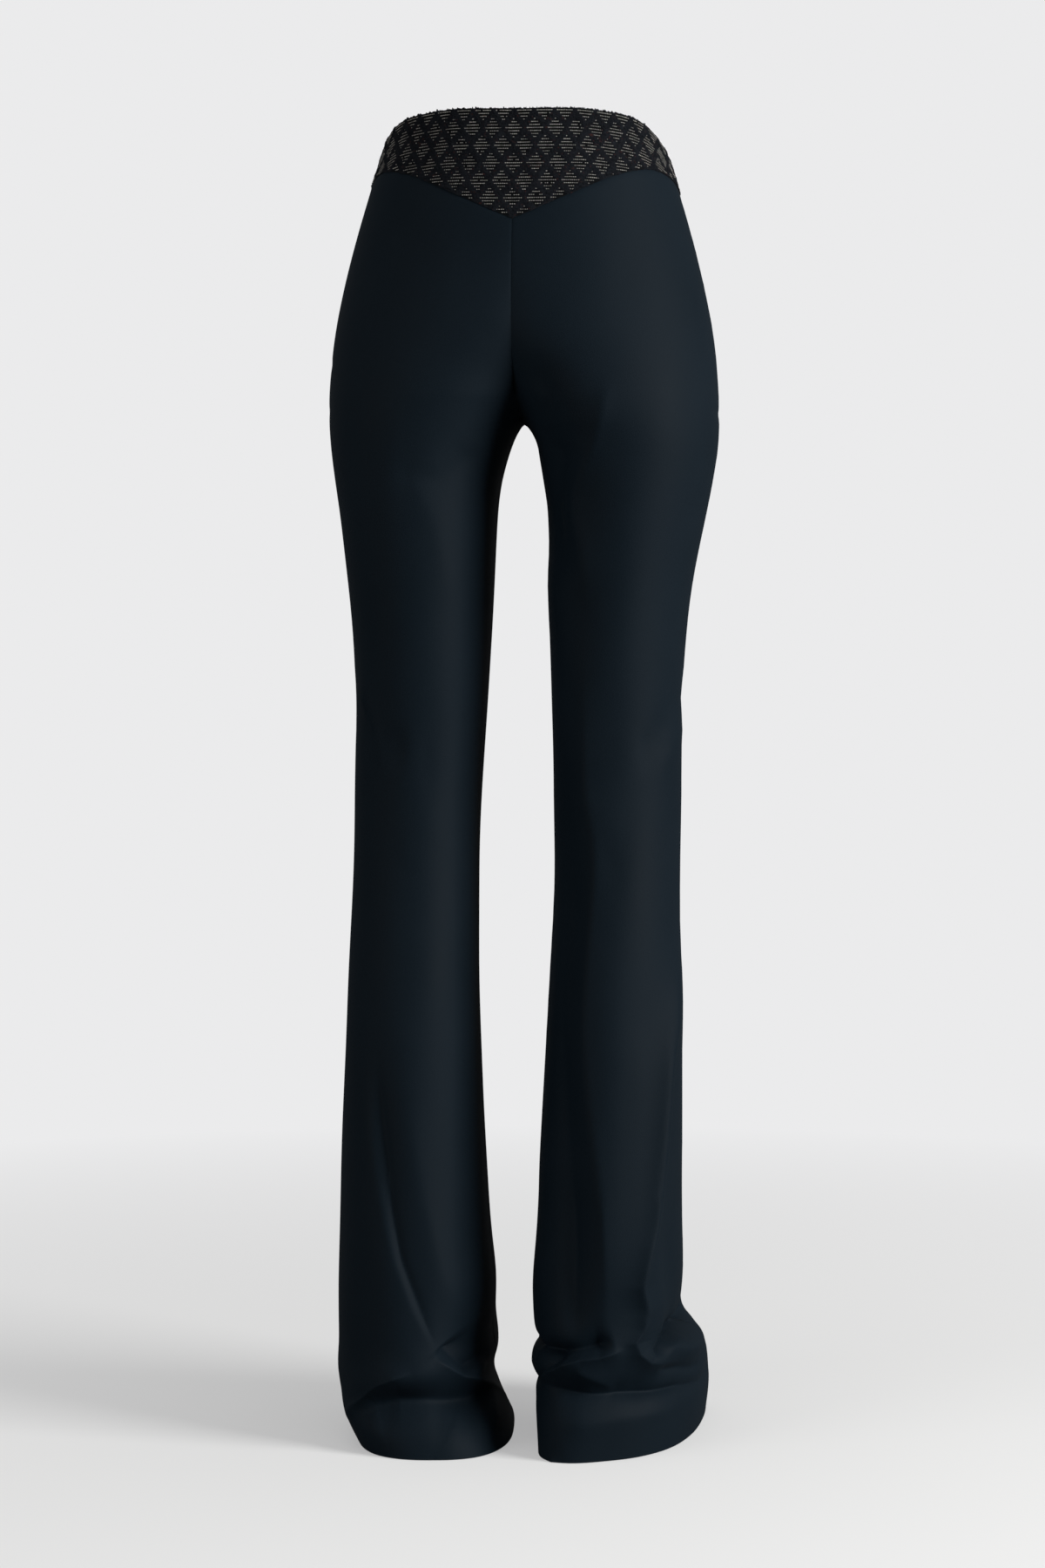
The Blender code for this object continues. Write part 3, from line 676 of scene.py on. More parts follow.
def outer_skin(node: str) -> bpy.types.Object:
    """Take the outer skin of a wall's solid as an open sheet of quads.

    The solid's triangles are merged, and the largest region that no sharp edge crosses is kept.

    Args:
        node: name of the frame's node.

    Returns:
        A new object with the open skin.
    """
    shell = bmesh.new()
    shell.from_mesh(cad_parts[node].data)
    bmesh.ops.remove_doubles(shell, verts=shell.verts, dist=WELD)
    seen: set[int] = set()
    regions = []
    shell.faces.index_update()
    for first in shell.faces:
        if first.index in seen:
            continue
        seen.add(first.index)
        region, waiting = [], [first]
        while waiting:
            face = waiting.pop()
            region.append(face)
            for edge in face.edges:
                if len(edge.link_faces) != 2 or edge.calc_face_angle() > RIM_ANGLE:
                    continue
                for other in edge.link_faces:
                    if other.index not in seen:
                        seen.add(other.index)
                        waiting.append(other)
        regions.append(region)
    kept = set(max(regions, key=lambda region: sum(face.calc_area() for face in region)))
    bmesh.ops.delete(shell, geom=[f for f in shell.faces if f not in kept], context="FACES")
    bmesh.ops.join_triangles(shell, faces=shell.faces[:], angle_face_threshold=math.pi,
                             angle_shape_threshold=math.pi)
    mesh = bpy.data.meshes.new(node + "_skin")
    shell.to_mesh(mesh)
    shell.free()
    LOG.info("%s: outer skin of %d faces out of %d regions", node, len(mesh.polygons), len(regions))
    return link_mesh(node + "_skin", mesh)


def read_points(mesh: bpy.types.Mesh) -> np.ndarray:
    """All points of a mesh as an array of rows.

    Args:
        mesh: the mesh.

    Returns:
        One row of x, y, z for each vertex.
    """
    points = np.empty(len(mesh.vertices) * 3)
    mesh.vertices.foreach_get("co", points)
    return points.reshape(-1, 3)


def read_normals(mesh: bpy.types.Mesh) -> np.ndarray:
    """All vertex normals of a mesh as an array of rows.

    Args:
        mesh: the mesh.

    Returns:
        One unit row for each vertex.
    """
    normals = np.empty(len(mesh.vertices) * 3)
    mesh.vertex_normals.foreach_get("vector", normals)
    return normals.reshape(-1, 3)


def write_points(mesh: bpy.types.Mesh, points: np.ndarray) -> None:
    """Move all points of a mesh."""
    mesh.vertices.foreach_set("co", points.astype(np.float32).ravel())
    mesh.update()


def read_edges(mesh: bpy.types.Mesh) -> np.ndarray:
    """The two points of each edge of a mesh.

    Args:
        mesh: the mesh.

    Returns:
        One row of two vertex numbers for each edge.
    """
    ends = np.empty(len(mesh.edges) * 2, int)
    mesh.edges.foreach_get("vertices", ends)
    return ends.reshape(-1, 2)


def boundary_mask(mesh: bpy.types.Mesh) -> np.ndarray:
    """Which points of an open sheet lie on its edge.

    Args:
        mesh: the open sheet.

    Returns:
        True for each vertex on an edge with one face.
    """
    loops = np.empty(len(mesh.loops), int)
    mesh.loops.foreach_get("edge_index", loops)
    faces = np.bincount(loops, minlength=len(mesh.edges))
    mask = np.zeros(len(mesh.vertices), bool)
    mask[read_edges(mesh)[faces == 1]] = True
    return mask


def distance_to_path(a: np.ndarray, b: np.ndarray, path: tuple) -> tuple[np.ndarray, np.ndarray]:
    """Distance from each (a, b) to a path.

    Args:
        a: first coordinates.
        b: second coordinates.
        path: the path's points.

    Returns:
        The distances, and the share of the path's length at the nearest place.
    """
    corners = np.asarray(path, float)
    lengths = np.hypot(*np.diff(corners, axis=0).T)
    before = np.concatenate([[0.0], np.cumsum(lengths)])
    best = np.full(a.shape, np.inf)
    share = np.zeros(a.shape)
    for k, length in enumerate(lengths):
        (a0, b0), (da, db) = corners[k], corners[k + 1] - corners[k]
        t = np.clip(((a - a0) * da + (b - b0) * db) / length ** 2, 0.0, 1.0)
        gap = np.hypot(a - a0 - t * da, b - b0 - t * db)
        nearer = gap < best
        best = np.where(nearer, gap, best)
        share = np.where(nearer, (before[k] + t * length) / before[-1], share)
    return best, share


def keep_corners(mesh: bpy.types.Mesh) -> None:
    """Mark where an open sheet's edge turns sharply, so that a subdivision keeps its corners.

    Args:
        mesh: the open sheet.
    """
    points = read_points(mesh)
    shell = bmesh.new()
    shell.from_mesh(mesh)
    marks = np.zeros(len(points), np.float32)
    for vertex in shell.verts:
        ways = [(e.other_vert(vertex).co - vertex.co) for e in vertex.link_edges if e.is_boundary]
        if len(ways) == 2 and math.pi - ways[0].angle(ways[1]) > CORNER_ANGLE:
            marks[vertex.index] = 1.0
    shell.free()
    mesh.attributes.new("crease_vert", "FLOAT", "POINT").data.foreach_set("value", marks)


def ease_relief(mesh: bpy.types.Mesh, rounds: int = 8) -> None:
    """Even out a coarse open sheet inside its edge, so that finer relief can be laid on it.

    Args:
        mesh: the sheet.
        rounds: how often each inner point moves to the middle of its neighbours.
    """
    points = read_points(mesh)
    ends = read_edges(mesh)
    first, second = ends.T
    inner = ~boundary_mask(mesh)
    count = np.bincount(ends.ravel(), minlength=len(points))[:, None]
    for _ in range(rounds):
        total = np.zeros_like(points)
        np.add.at(total, first, points[second])
        np.add.at(total, second, points[first])
        points[inner, 1] = (0.5 * points + 0.5 * total / count)[inner, 1]
    write_points(mesh, points)


def shade_smooth(piece: bpy.types.Object, degrees: float = 50.0) -> None:
    """Shade a piece smooth but for edges that turn more than the angle."""
    select_only(piece)
    bpy.ops.object.shade_smooth_by_angle(angle=math.radians(degrees))


# ------------------------------------------------------------------ leg pieces

class LegField:
    """Which way each place of a leg faces, the same for its back and its front piece.

    The leg's two solids are read as an ellipse at each height. Above the crotch the ellipse is the
    whole body's.
    """

    STEP = 0.010
    CROTCH_Z = -0.233
    BLEND = 0.030                       # height over which the body's ellipse turns into the leg's

    def __init__(self, side: Side) -> None:
        """Read the ellipses of one leg.

        Args:
            side: which leg.
        """
        names = [f"{side.name.lower()}_{part}_leg" for part in ("back", "front")]
        points = np.concatenate([read_points(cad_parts[name].data) for name in names])
        rows = []
        for height in np.arange(FLOOR_Z, points[:, 2].max(), self.STEP):
            near = points[np.abs(points[:, 2] - height) < 1.5 * self.STEP, :2]
            if len(near):
                low, high = near.min(axis=0), near.max(axis=0)
                rows.append((height, *((low + high) / 2), *((high - low) / 2), np.abs(near[:, 0]).max()))
        self.heights, self.mid_x, self.mid_y, self.half_x, self.half_y, self.body_x = np.array(rows).T

    def outwards(self, points: np.ndarray) -> np.ndarray:
        """Level unit vector out of the leg at each point.

        Args:
            points: places on or near the leg.

        Returns:
            One level unit row for each place.
        """
        z = points[:, 2]
        leg = ease((self.CROTCH_Z - z) / self.BLEND)
        mid_x, mid_y, half_x, half_y, body_x = (
            np.interp(z, self.heights, row)
            for row in (self.mid_x, self.mid_y, self.half_x, self.half_y, self.body_x))
        half_x = half_x * leg + body_x * (1 - leg)
        way = np.stack([(points[:, 0] - mid_x * leg) / half_x ** 2, (points[:, 1] - mid_y) / half_y ** 2,
                        np.zeros(len(z))], axis=1)
        return way / np.maximum(np.linalg.norm(way, axis=1), 1e-6)[:, None]


@dataclass
class LegSheet:
    """One cut piece of crepe: the back or the front of a leg, from the yoke seam to the hem."""

    node: str
    side: Side
    creases: tuple[Crease, ...]
    flat: tuple[float, float]           # the cut's width and length
    flat_area: float
    wall: float = 0.0015
    fine_below: float = -0.880          # the folds at the floor get a finer mesh under this height
    folded: tuple[float, float] = (-1.064, -0.984)      # and a still finer one between these heights
    folded_from_y: float = 0.035                        # on the leg's back
    refine_smooth: float = 0.6
    facing_from: float = -0.20          # a side's creases reach a little way round the leg
    facing_span: float = 0.45
    taper: float = 0.22                 # share of a crease over which each of its ends dies out
    drift: float = 0.00045              # slow unevenness of hanging cloth
    drift_phase: float = 0.8            # keeps the two legs from being alike
    seam_strip: float = 0.0014          # a narrow strip along every edge takes the seam's roll
    seam_closing: float = 0.00016
    seam_roll: float = 0.0006           # how far an edge turns in towards its seam
    roll_width: float = 0.0012
    seam_pucker: float = 0.00025
    seam_width: float = 0.0035
    pucker_waves: tuple[float, float] = (0.017, 0.041)
    centre_shown: float = 0.6           # how much the centre seam shows at the waist
    centre_fade: tuple[float, float] = (-0.21, 0.12)    # height where it has faded out, and over how much
    plane_reach: float = 0.0010         # an edge this near the centre plane is joined on it
    yoke_gap: float = 0.00010
    yoke_reach: float = 0.0025          # an edge this near the yoke's is joined to it
    waist_below: float = -0.085         # no part of the waist seam lies lower
    hem_allowance: float = 0.040        # turned-up hem, blind stitched
    hem_step: float = 0.00030
    hem_edge: float = 0.0015            # height over which the step rises

    def build(self, finish: bpy.types.Material, yoke_edge: np.ndarray) -> bpy.types.Object:
        """Make the sheet.

        Args:
            finish: the crepe.
            yoke_edge: points along the lower edges of the yoke and the waistband.

        Returns:
            The finished piece.
        """
        piece = outer_skin(self.node)
        piece.name = self.node.replace("_leg", "_crepe_leg")
        keep_corners(piece.data)
        apply_modifier(piece, "SUBSURF", levels=2, render_levels=2)
        self.refine(piece, (FLOOR_Z - WELD, self.fine_below), -1.0)
        self.refine(piece, self.folded, self.folded_from_y)
        self.add_seam_strip(piece)
        self.meet_yoke(piece, yoke_edge)
        self.shape(piece)
        apply_modifier(piece, "SOLIDIFY", thickness=self.wall, offset=-1.0, use_rim=True)
        points = read_points(piece.data)
        points[:, 2] = np.maximum(points[:, 2], FLOOR_Z)
        write_points(piece.data, points)
        piece.data.materials.clear()
        piece.data.materials.append(finish)
        shade_smooth(piece)
        return piece

    def refine(self, piece: bpy.types.Object, heights: tuple[float, float], from_y: float) -> None:
        """Halve the mesh between two heights, where the cloth breaks over the floor.

        Args:
            piece: the sheet.
            heights: the lower and the upper bound.
            from_y: only what lies further back than this is halved.
        """
        shell = bmesh.new()
        shell.from_mesh(piece.data)
        low, high = heights
        edges = [e for e in shell.edges if all(low <= v.co.z < high and v.co.y > from_y for v in e.verts)]
        bmesh.ops.subdivide_edges(shell, edges=edges, cuts=1, use_grid_fill=True, smooth=self.refine_smooth)
        shell.to_mesh(piece.data)
        shell.free()

    def add_seam_strip(self, piece: bpy.types.Object) -> None:
        """Part a narrow strip along the sheet's edge, and bring the edge close to its neighbour's.

        Args:
            piece: the sheet.
        """
        shell = bmesh.new()
        shell.from_mesh(piece.data)
        bmesh.ops.inset_region(shell, faces=shell.faces[:], thickness=self.seam_strip,
                               use_boundary=True, use_even_offset=True)
        moves = {}
        for vertex in shell.verts:
            if not vertex.is_boundary:
                continue
            inner = [e.other_vert(vertex).co for e in vertex.link_edges if not e.is_boundary]
            if inner:
                outwards = vertex.co - sum(inner, Vector()) / len(inner)
                moves[vertex] = outwards.normalized() * self.seam_closing
        for vertex, move in moves.items():
            vertex.co += move
        shell.to_mesh(piece.data)
        shell.free()

    def meet_yoke(self, piece: bpy.types.Object, yoke_edge: np.ndarray) -> None:
        """Bring the sheet's top edge to just under the yoke's lower edge.

        Args:
            piece: the sheet.
            yoke_edge: points along the yoke's and the band's lower edges.
        """
        points = read_points(piece.data)
        edge = np.flatnonzero(boundary_mask(piece.data) & (points[:, 2] > self.waist_below))
        tree = KDTree(len(yoke_edge))
        for k, target in enumerate(yoke_edge):
            tree.insert(target, k)
        tree.balance()
        for k in edge:
            target, _, gap = tree.find(points[k])
            if gap < self.yoke_reach:
                points[k, 2] = target.z - self.yoke_gap
        write_points(piece.data, points)

    def shape(self, piece: bpy.types.Object) -> None:
        """Lay the creases, the seams and the hem into the sheet.

        Args:
            piece: the sheet.
        """
        points = read_points(piece.data)
        outwards = LegField(self.side).outwards(points)
        height = self.crease_height(points, outwards) + self.drift_height(points)
        edge = boundary_mask(piece.data)
        height = height + self.seam_height(points, edge) + self.hem_height(points)
        on_plane = edge & (np.abs(points[:, 0]) < self.plane_reach) & (points[:, 2] > LegField.CROTCH_Z)
        points = points + outwards * height[:, None]
        points[:, 0] = np.maximum(points[:, 0] * self.side.value, WELD) * self.side.value
        points[on_plane, 0] = 0.0
        points[:, 2] = np.maximum(points[:, 2], FLOOR_Z)
        write_points(piece.data, points)

    def crease_height(self, points: np.ndarray, outwards: np.ndarray) -> np.ndarray:
        """How far the creases push each point out of the leg.

        Args:
            points: the sheet's points.
            outwards: their directions out of the leg.

        Returns:
            One height for each point.
        """
        across = points[:, 0] * self.side.value
        seen_from = {
            BACK: (across, outwards[:, 1]),
            FRONT: (across, -outwards[:, 1]),
            OUTER: (points[:, 1], outwards[:, 0] * self.side.value),
            INNER: (points[:, 1], -outwards[:, 0] * self.side.value),
        }
        height = np.zeros(len(points))
        for crease in self.creases:
            place, facing = seen_from[crease.face]
            gap, share = distance_to_path(place / MM, points[:, 2] / MM, crease.path)
            fade = ease(share / self.taper) * ease((1 - share) / self.taper)
            shown = np.clip((facing - self.facing_from) / self.facing_span, 0.0, 1.0)
            rounded = np.hypot(gap, crease.crest) - crease.crest
            height += MM * crease.height * np.exp(-rounded / crease.width) * fade * shown
        return height

    def drift_height(self, points: np.ndarray) -> np.ndarray:
        """Slow waves that keep the cloth from looking cast. Their numbers are radians a metre.

        Args:
            points: the sheet's points.

        Returns:
            One height for each point.
        """
        x, y, z = points.T
        phase = self.drift_phase * self.side.value
        long = np.sin(52.0 * x + 9.0 * z + phase) * np.sin(7.5 * z + 1.3 + 14.0 * y)
        short = np.sin(118.0 * (x + 0.5 * y) + 21.0 * z) * np.sin(31.0 * z + 2.0 * phase)
        return self.drift * (0.7 * long + 0.3 * short)

    def seam_height(self, points: np.ndarray, edge: np.ndarray) -> np.ndarray:
        """Turn the sheet's edges in to their seams, with small puckers beside them.

        Args:
            points: the sheet's points.
            edge: which of them lie on its edge.

        Returns:
            One height for each point.
        """
        gap = nearest_distance(points, points[edge])
        close = np.exp(-(gap / self.seam_width) ** 2)
        upright = np.clip((points[:, 2] - (FLOOR_Z + self.hem_allowance)) / self.hem_allowance, 0.0, 1.0)
        centre = np.exp(-(points[:, 0] / self.seam_width) ** 2)
        lowest, span = self.centre_fade
        shown = upright * (1 - centre * (1 - self.centre_shown * ease((points[:, 2] - lowest) / span)))
        short, long = (np.sin(points[:, 2] * 2 * math.pi / wave) for wave in self.pucker_waves)
        roll = self.seam_roll * np.exp(-(gap / self.roll_width) ** 2)
        return (self.seam_pucker * short * long * close - roll) * shown

    def hem_height(self, points: np.ndarray) -> np.ndarray:
        """The turned-up hem shows as a faint step at the top of its allowance."""
        over = points[:, 2] - (FLOOR_Z + self.hem_allowance)
        return self.hem_step / (1 + np.exp(over / self.hem_edge))


def ease(share: np.ndarray) -> np.ndarray:
    """Smooth rise from 0 to 1 as the share goes from 0 to 1."""
    held = np.clip(share, 0.0, 1.0)
    return held * held * (3 - 2 * held)


def nearest_distance(points: np.ndarray, targets: np.ndarray) -> np.ndarray:
    """Distance from each point to the nearest of the targets, by a k-d tree.

    Args:
        points: where to measure from.
        targets: where to measure to.

    Returns:
        One distance for each point.
    """
    tree = KDTree(len(targets))
    for k, target in enumerate(targets):
        tree.insert(target, k)
    tree.balance()
    return np.array([tree.find(point)[2] for point in points])


# ------------------------------------------------------------------ yoke and waistband

@dataclass
class YokeSheet:
    """A band of lattice tweed: the wall, its metallic weft, its looped tufts and its top edge."""

    MAP = "lattice"

    node: str
    facing: float                       # 1 on the back, -1 on the front
    flat: tuple[float, float]
    flat_area: float
    seed: int
    wall: float = 0.0022
    axis_y: float = 0.007               # the side seams' y; the band is read from there
    ray_reach: float = 0.4              # further from the axis than any of the band
    column_turn: float = 0.085          # about the angle from one column to the next
    line_places: int = 30               # where the line between the two long edges is read
    line_reach: float = 0.12            # and over which angle
    edge_parts: int = 4                 # steps from one point of the lower edge to the next
    slope: float = 0.25                 # share of a lozenge that its edge slopes over
    loops_relief: float = 0.00018
    lump_limit: float = 1.5             # the highest lump of the loops, in standard deviations
    ground_depth: float = 0.00050       # how far the ground in a lozenge lies under the lattice
    ground_calm: float = 0.75           # how much less lumpy that ground is
    ahead: float = 0.1                  # columns to the place that gives a yarn's direction
    edge_margin: float = 0.0009         # the weft stops this far from an edge
    bead: tuple[float, float, float] = (0.00066, 0.00041, 0.00032)
    bead_inset: float = 0.12            # columns that the weft keeps from a side seam
    bead_lift: float = 0.00012
    bead_shift: float = 0.25            # share of a bead's pitch that a line is moved by, at most
    bead_spread: tuple[float, float] = (0.75, 1.15)
    tuft: tuple[float, float] = (0.00032, 0.00062)
    tuft_count: int = 6400
    tuft_inset: float = 0.05
    tuft_depths: tuple[float, float] = (0.0004, 0.095)
    tuft_ground: float = 0.05           # tufts grow no deeper inside a lozenge than this
    tuft_lift: float = 0.0001
    loop: tuple[float, float] = (0.0004, 0.0010)        # looser loops along the top edge
    loop_count: int = 570
    loop_depths: tuple[float, float] = (-0.0004, 0.0006)
    loop_lift: float = -0.0008
    rust_bit: tuple[float, float, float] = (0.00065, 0.00026, 0.00024)
    rust_count: int = 70
    rust_inset: float = 0.5
    rust_depths: tuple[float, float] = (0.003, 0.080)
    rust_margin: float = 0.002
    rust_pitch: float = 0.13            # columns from one bit of a rust thread to the next
    rust_lift: float = 0.0002

    def build(self, tweed: bpy.types.Material,
              yarns: dict[str, bpy.types.Material]) -> dict[str, bpy.types.Object]:
        """Make the band and the yarns on it.

        Args:
            tweed: finish of the wall.
            yarns: finishes of the weft, tuft and rust yarns.

        Returns:
            Piece by its part: band, weft, tufts, rust.
        """
        self.random = np.random.default_rng(self.seed)
        skin = outer_skin(self.node)
        skin.name = self.node + "_tweed"
        self.read_columns(skin)
        keep_corners(skin.data)
        ease_relief(skin.data)
        apply_modifier(skin, "SUBSURF", levels=3, render_levels=3)
        self.lower_edge = self.read_lower_edge(skin)
        self.map_lattice(skin)
        self.roughen(skin)
        self.tree = BVHTree.FromObject(skin, bpy.context.evaluated_depsgraph_get())
        apply_modifier(skin, "SOLIDIFY", thickness=self.wall, offset=-1.0, use_rim=True)
        skin.data.materials.clear()
        skin.data.materials.append(tweed)
        shade_smooth(skin)
        made = {"band": skin}
        makers = (("weft", self.weft_yarns), ("tuft", self.tuft_yarns), ("rust", self.rust_yarns))
        for part, maker in makers:
            made[part] = scatter(self.node + "_" + part, maker(), yarns[part])
        return made

    # -- reading the band

    def turn_of(self, points: np.ndarray) -> np.ndarray:
        """Angle round the band's axis, 0 at the centre seam and growing towards +X."""
        return np.arctan2(points[:, 0], (points[:, 1] - self.axis_y) * self.facing)

    def read_columns(self, skin: bpy.types.Object) -> None:
        """Find the band's columns from the points of its top and bottom edge.

        Args:
            skin: the band's open sheet, still coarse.
        """
        points = read_points(skin.data)
        on_edge = points[boundary_mask(skin.data)]
        turn = self.turn_of(on_edge)
        order = np.argsort(turn)
        on_edge, turn = on_edge[order], turn[order]
        middle = np.interp(turn, *self.middle_line(on_edge, turn))
        top, low = on_edge[:, 2] >= middle, on_edge[:, 2] < middle
        count = 2 * Lattice.COLUMNS + 1
        self.columns = np.arange(count) - Lattice.COLUMNS
        self.top_turn, self.top_z = self.by_column(turn[top], on_edge[top, 2], count)
        self.low_turn, self.low_z = self.by_column(turn[low], on_edge[low, 2], count)

    def read_lower_edge(self, skin: bpy.types.Object) -> np.ndarray:
        """Points along the smooth sheet's lower edge, with three more between each two.

        Args:
            skin: the band's open sheet, smoothed.

        Returns:
            The points, from one side seam to the other.
        """
        points = read_points(skin.data)
        on_edge = points[boundary_mask(skin.data)]
        column, depth = self.lattice_of(on_edge)
        top = np.interp(column, self.columns, self.top_z)
        low = np.interp(column, self.columns, self.low_z)
        edge = on_edge[depth > (top - low) / 2]
        edge = edge[np.argsort(self.turn_of(edge))]
        parts = self.edge_parts
        return np.concatenate([edge[:-1] * (1 - k / parts) + edge[1:] * k / parts for k in range(parts)])

    def middle_line(self, on_edge: np.ndarray, turn: np.ndarray) -> tuple[np.ndarray, np.ndarray]:
        """A line half way between the two long edges, as (angles, heights).

        Args:
            on_edge: points of the band's edge, by angle.
            turn: their angles.

        Returns:
            Angles, and the height half way at each.
        """
        at = np.linspace(turn.min(), turn.max(), self.line_places)
        heights = []
        for place in at:
            near = np.abs(turn - place) < self.line_reach
            heights.append((on_edge[near, 2].max() + on_edge[near, 2].min()) / 2)
        return at, np.array(heights)

    @staticmethod
    def by_column(turn: np.ndarray, z: np.ndarray, count: int) -> tuple[np.ndarray, np.ndarray]:
        """Thin an edge's points to one for each column.

        Args:
            turn: angles of an edge's points, rising.
            z: their heights.
            count: how many to keep.

        Returns:
            Angles and heights at the columns.
        """
        keep = np.linspace(0, len(turn) - 1, count)
        at = np.arange(len(turn))
        return np.interp(keep, at, turn), np.interp(keep, at, z)

    def point(self, column: float, depth: float) -> tuple[np.ndarray | None, np.ndarray | None]:
        """Place on the band at a column and a depth under its top edge.

        Args:
            column: the place's column.
            depth: its depth under the top edge.

        Returns:
            The point and its outward normal.
        """
        top = float(np.interp(column, self.columns, self.top_z))
        low = float(np.interp(column, self.columns, self.low_z))
        z = top - depth
        share = min(max(depth / max(top - low, 1e-4), 0.0), 1.0)
        turn = (float(np.interp(column, self.columns, self.top_turn)) * (1 - share)
                + float(np.interp(column, self.columns, self.low_turn)) * share)
        way = Vector((math.sin(turn), math.cos(turn) * self.facing, 0.0))
        start = Vector((0.0, self.axis_y, z))
        hit, normal, _, _ = self.tree.ray_cast(start, way, self.ray_reach)
        if hit is None:
            return None, None
        if normal.dot(way) < 0:
            normal = -normal
        return np.array(hit), np.array(normal)

    def depth_left(self, column: float, depth: float) -> float:
        """Distance from a place to the nearer of the top and bottom edge.

        Args:
            column: the place's column.
            depth: its depth under the top edge.

        Returns:
            The distance, below 0 outside the band.
        """
        top = float(np.interp(column, self.columns, self.top_z))
        low = float(np.interp(column, self.columns, self.low_z))
        return min(depth, top - low - depth)

    def lattice_of(self, points: np.ndarray) -> tuple[np.ndarray, np.ndarray]:
        """Column and depth of points of the band.

        Args:
            points: places on the band.

        Returns:
            Their columns, and their depths under the top edge.
        """
        turn = self.turn_of(points)
        column = np.interp(turn, self.top_turn, self.columns)
        for _ in range(3):
            top = np.interp(column, self.columns, self.top_z)
            low = np.interp(column, self.columns, self.low_z)
            share = np.clip((top - points[:, 2]) / np.maximum(top - low, 1e-4), 0.0, 1.0)
            at_top = np.interp(column, self.columns, self.top_turn)
            at_low = np.interp(column, self.columns, self.low_turn)
            here = at_top * (1 - share) + at_low * share
            column = np.clip(column + (turn - here) / self.column_turn, -Lattice.COLUMNS, Lattice.COLUMNS)
        return column, np.interp(column, self.columns, self.top_z) - points[:, 2]

    # -- shaping the band

    def map_lattice(self, skin: bpy.types.Object) -> None:
        """Give the sheet a map in columns and steps for its finish.

        Args:
            skin: the band's open sheet.
        """
        column, depth = self.lattice_of(read_points(skin.data))
        layer = skin.data.uv_layers.new(name=self.MAP)
        corner = np.empty(len(skin.data.loops), int)
        skin.data.loops.foreach_get("vertex_index", corner)
        pairs = np.stack([column, Lattice.step(depth)], axis=1)[corner]
        layer.data.foreach_set("uv", pairs.astype(np.float32).ravel())

    def roughen(self, skin: bpy.types.Object) -> None:
        """Raise the looped yarn of the lattice unevenly, and let the lozenges lie flatter.

        Args:
            skin: the band's open sheet.
        """
        points, normals = read_points(skin.data), read_normals(skin.data)
        column, depth = self.lattice_of(points)
        ground = np.clip(lozenge_depth(column, Lattice.step(depth)) / self.slope + 0.5, 0.0, 1.0)
        lumps = np.clip(self.random.normal(0.0, 1.0, len(points)), -self.lump_limit, self.lump_limit)
        lift = self.loops_relief * lumps * (1 - self.ground_calm * ground) - self.ground_depth * ground
        points = points + normals * lift[:, None]
        write_points(skin.data, points)

    # -- yarns

    def weft_yarns(self) -> "Scatter":
        """Beads of metallic weft along the lines of every lozenge, whole and cut ones.

        Returns:
            The beads' frames.
        """
        made = Scatter(self.bead)
        half_lines = Lattice.WEFT_LINES // 2
        deepest = float((self.top_z - self.low_z).max())
        for step in range(-1, math.ceil(deepest / Lattice.PITCH) + 2):
            for column in range(-Lattice.COLUMNS, Lattice.COLUMNS + 1):
                if (column + step) % 2 != 1:
                    continue
                bright = self.random.uniform(0.75, 1.0)
                for line in range(-half_lines, half_lines + 1):
                    depth = Lattice.FIRST + step * Lattice.PITCH + line * Lattice.WEFT_PITCH
                    self.bead_line(made, column, depth, abs(line), bright)
        return made

    def bead_line(self, made: "Scatter", column: float, depth: float, off: int, bright: float) -> None:
        """Add one line of beads across a lozenge.

        Args:
            made: where the beads go.
            column: the lozenge's column.
            depth: the line's depth under the top edge.
            off: how many lines it is from the lozenge's middle.
            bright: how much of the yarn shows, 0 to 1.
        """
        half = Lattice.HALF_WIDTH_COLUMNS * (1 - off * Lattice.WEFT_PITCH / Lattice.HALF_HEIGHT)
        pitch = Lattice.BEAD_PITCH / Lattice.COLUMN_WIDTH
        count = max(1, round(2 * half / pitch + self.random.uniform(-0.5, 0.5)))
        shift = self.random.uniform(-self.bead_shift, self.bead_shift) * pitch
        for k in range(count):
            place = column + shift + (k - (count - 1) / 2) * pitch
            if abs(place) > Lattice.COLUMNS - self.bead_inset:
                continue
            if self.depth_left(place, depth) < self.edge_margin:
                continue
            if self.random.random() > 0.90 + 0.08 * bright:
                continue
            here, normal = self.point(place, depth)
            ahead, _ = self.point(min(place + self.ahead, Lattice.COLUMNS - 0.01), depth)
            if here is None or ahead is None:
                continue
            size = self.random.uniform(*self.bead_spread, 3) * (0.8 + 0.25 * bright)
            made.add(here + normal * self.bead_lift, ahead - here, normal, size)

    def tuft_yarns(self) -> "Scatter":
        """Small loops of yarn on the lattice, and fuzzy ones along the top edge.

        Returns:
            The tufts' frames.
        """
        made = Scatter((1.0, 1.0, 1.0))
        side = Lattice.COLUMNS - self.tuft_inset
        added = 0
        while added < self.tuft_count:
            column = self.random.uniform(-side, side)
            depth = self.random.uniform(*self.tuft_depths)
            if self.depth_left(column, depth) < self.tuft_depths[0]:
                continue
            if lozenge_depth(np.array([column]), np.array([Lattice.step(depth)]))[0] > self.tuft_ground:
                continue
            self.add_tuft(made, column, depth, self.random.uniform(*self.tuft), self.tuft_lift)
            added += 1
        for _ in range(self.loop_count):
            column = self.random.uniform(-side, side)
            size = self.random.uniform(*self.loop)
            self.add_tuft(made, column, self.random.uniform(*self.loop_depths), size, self.loop_lift)
        return made

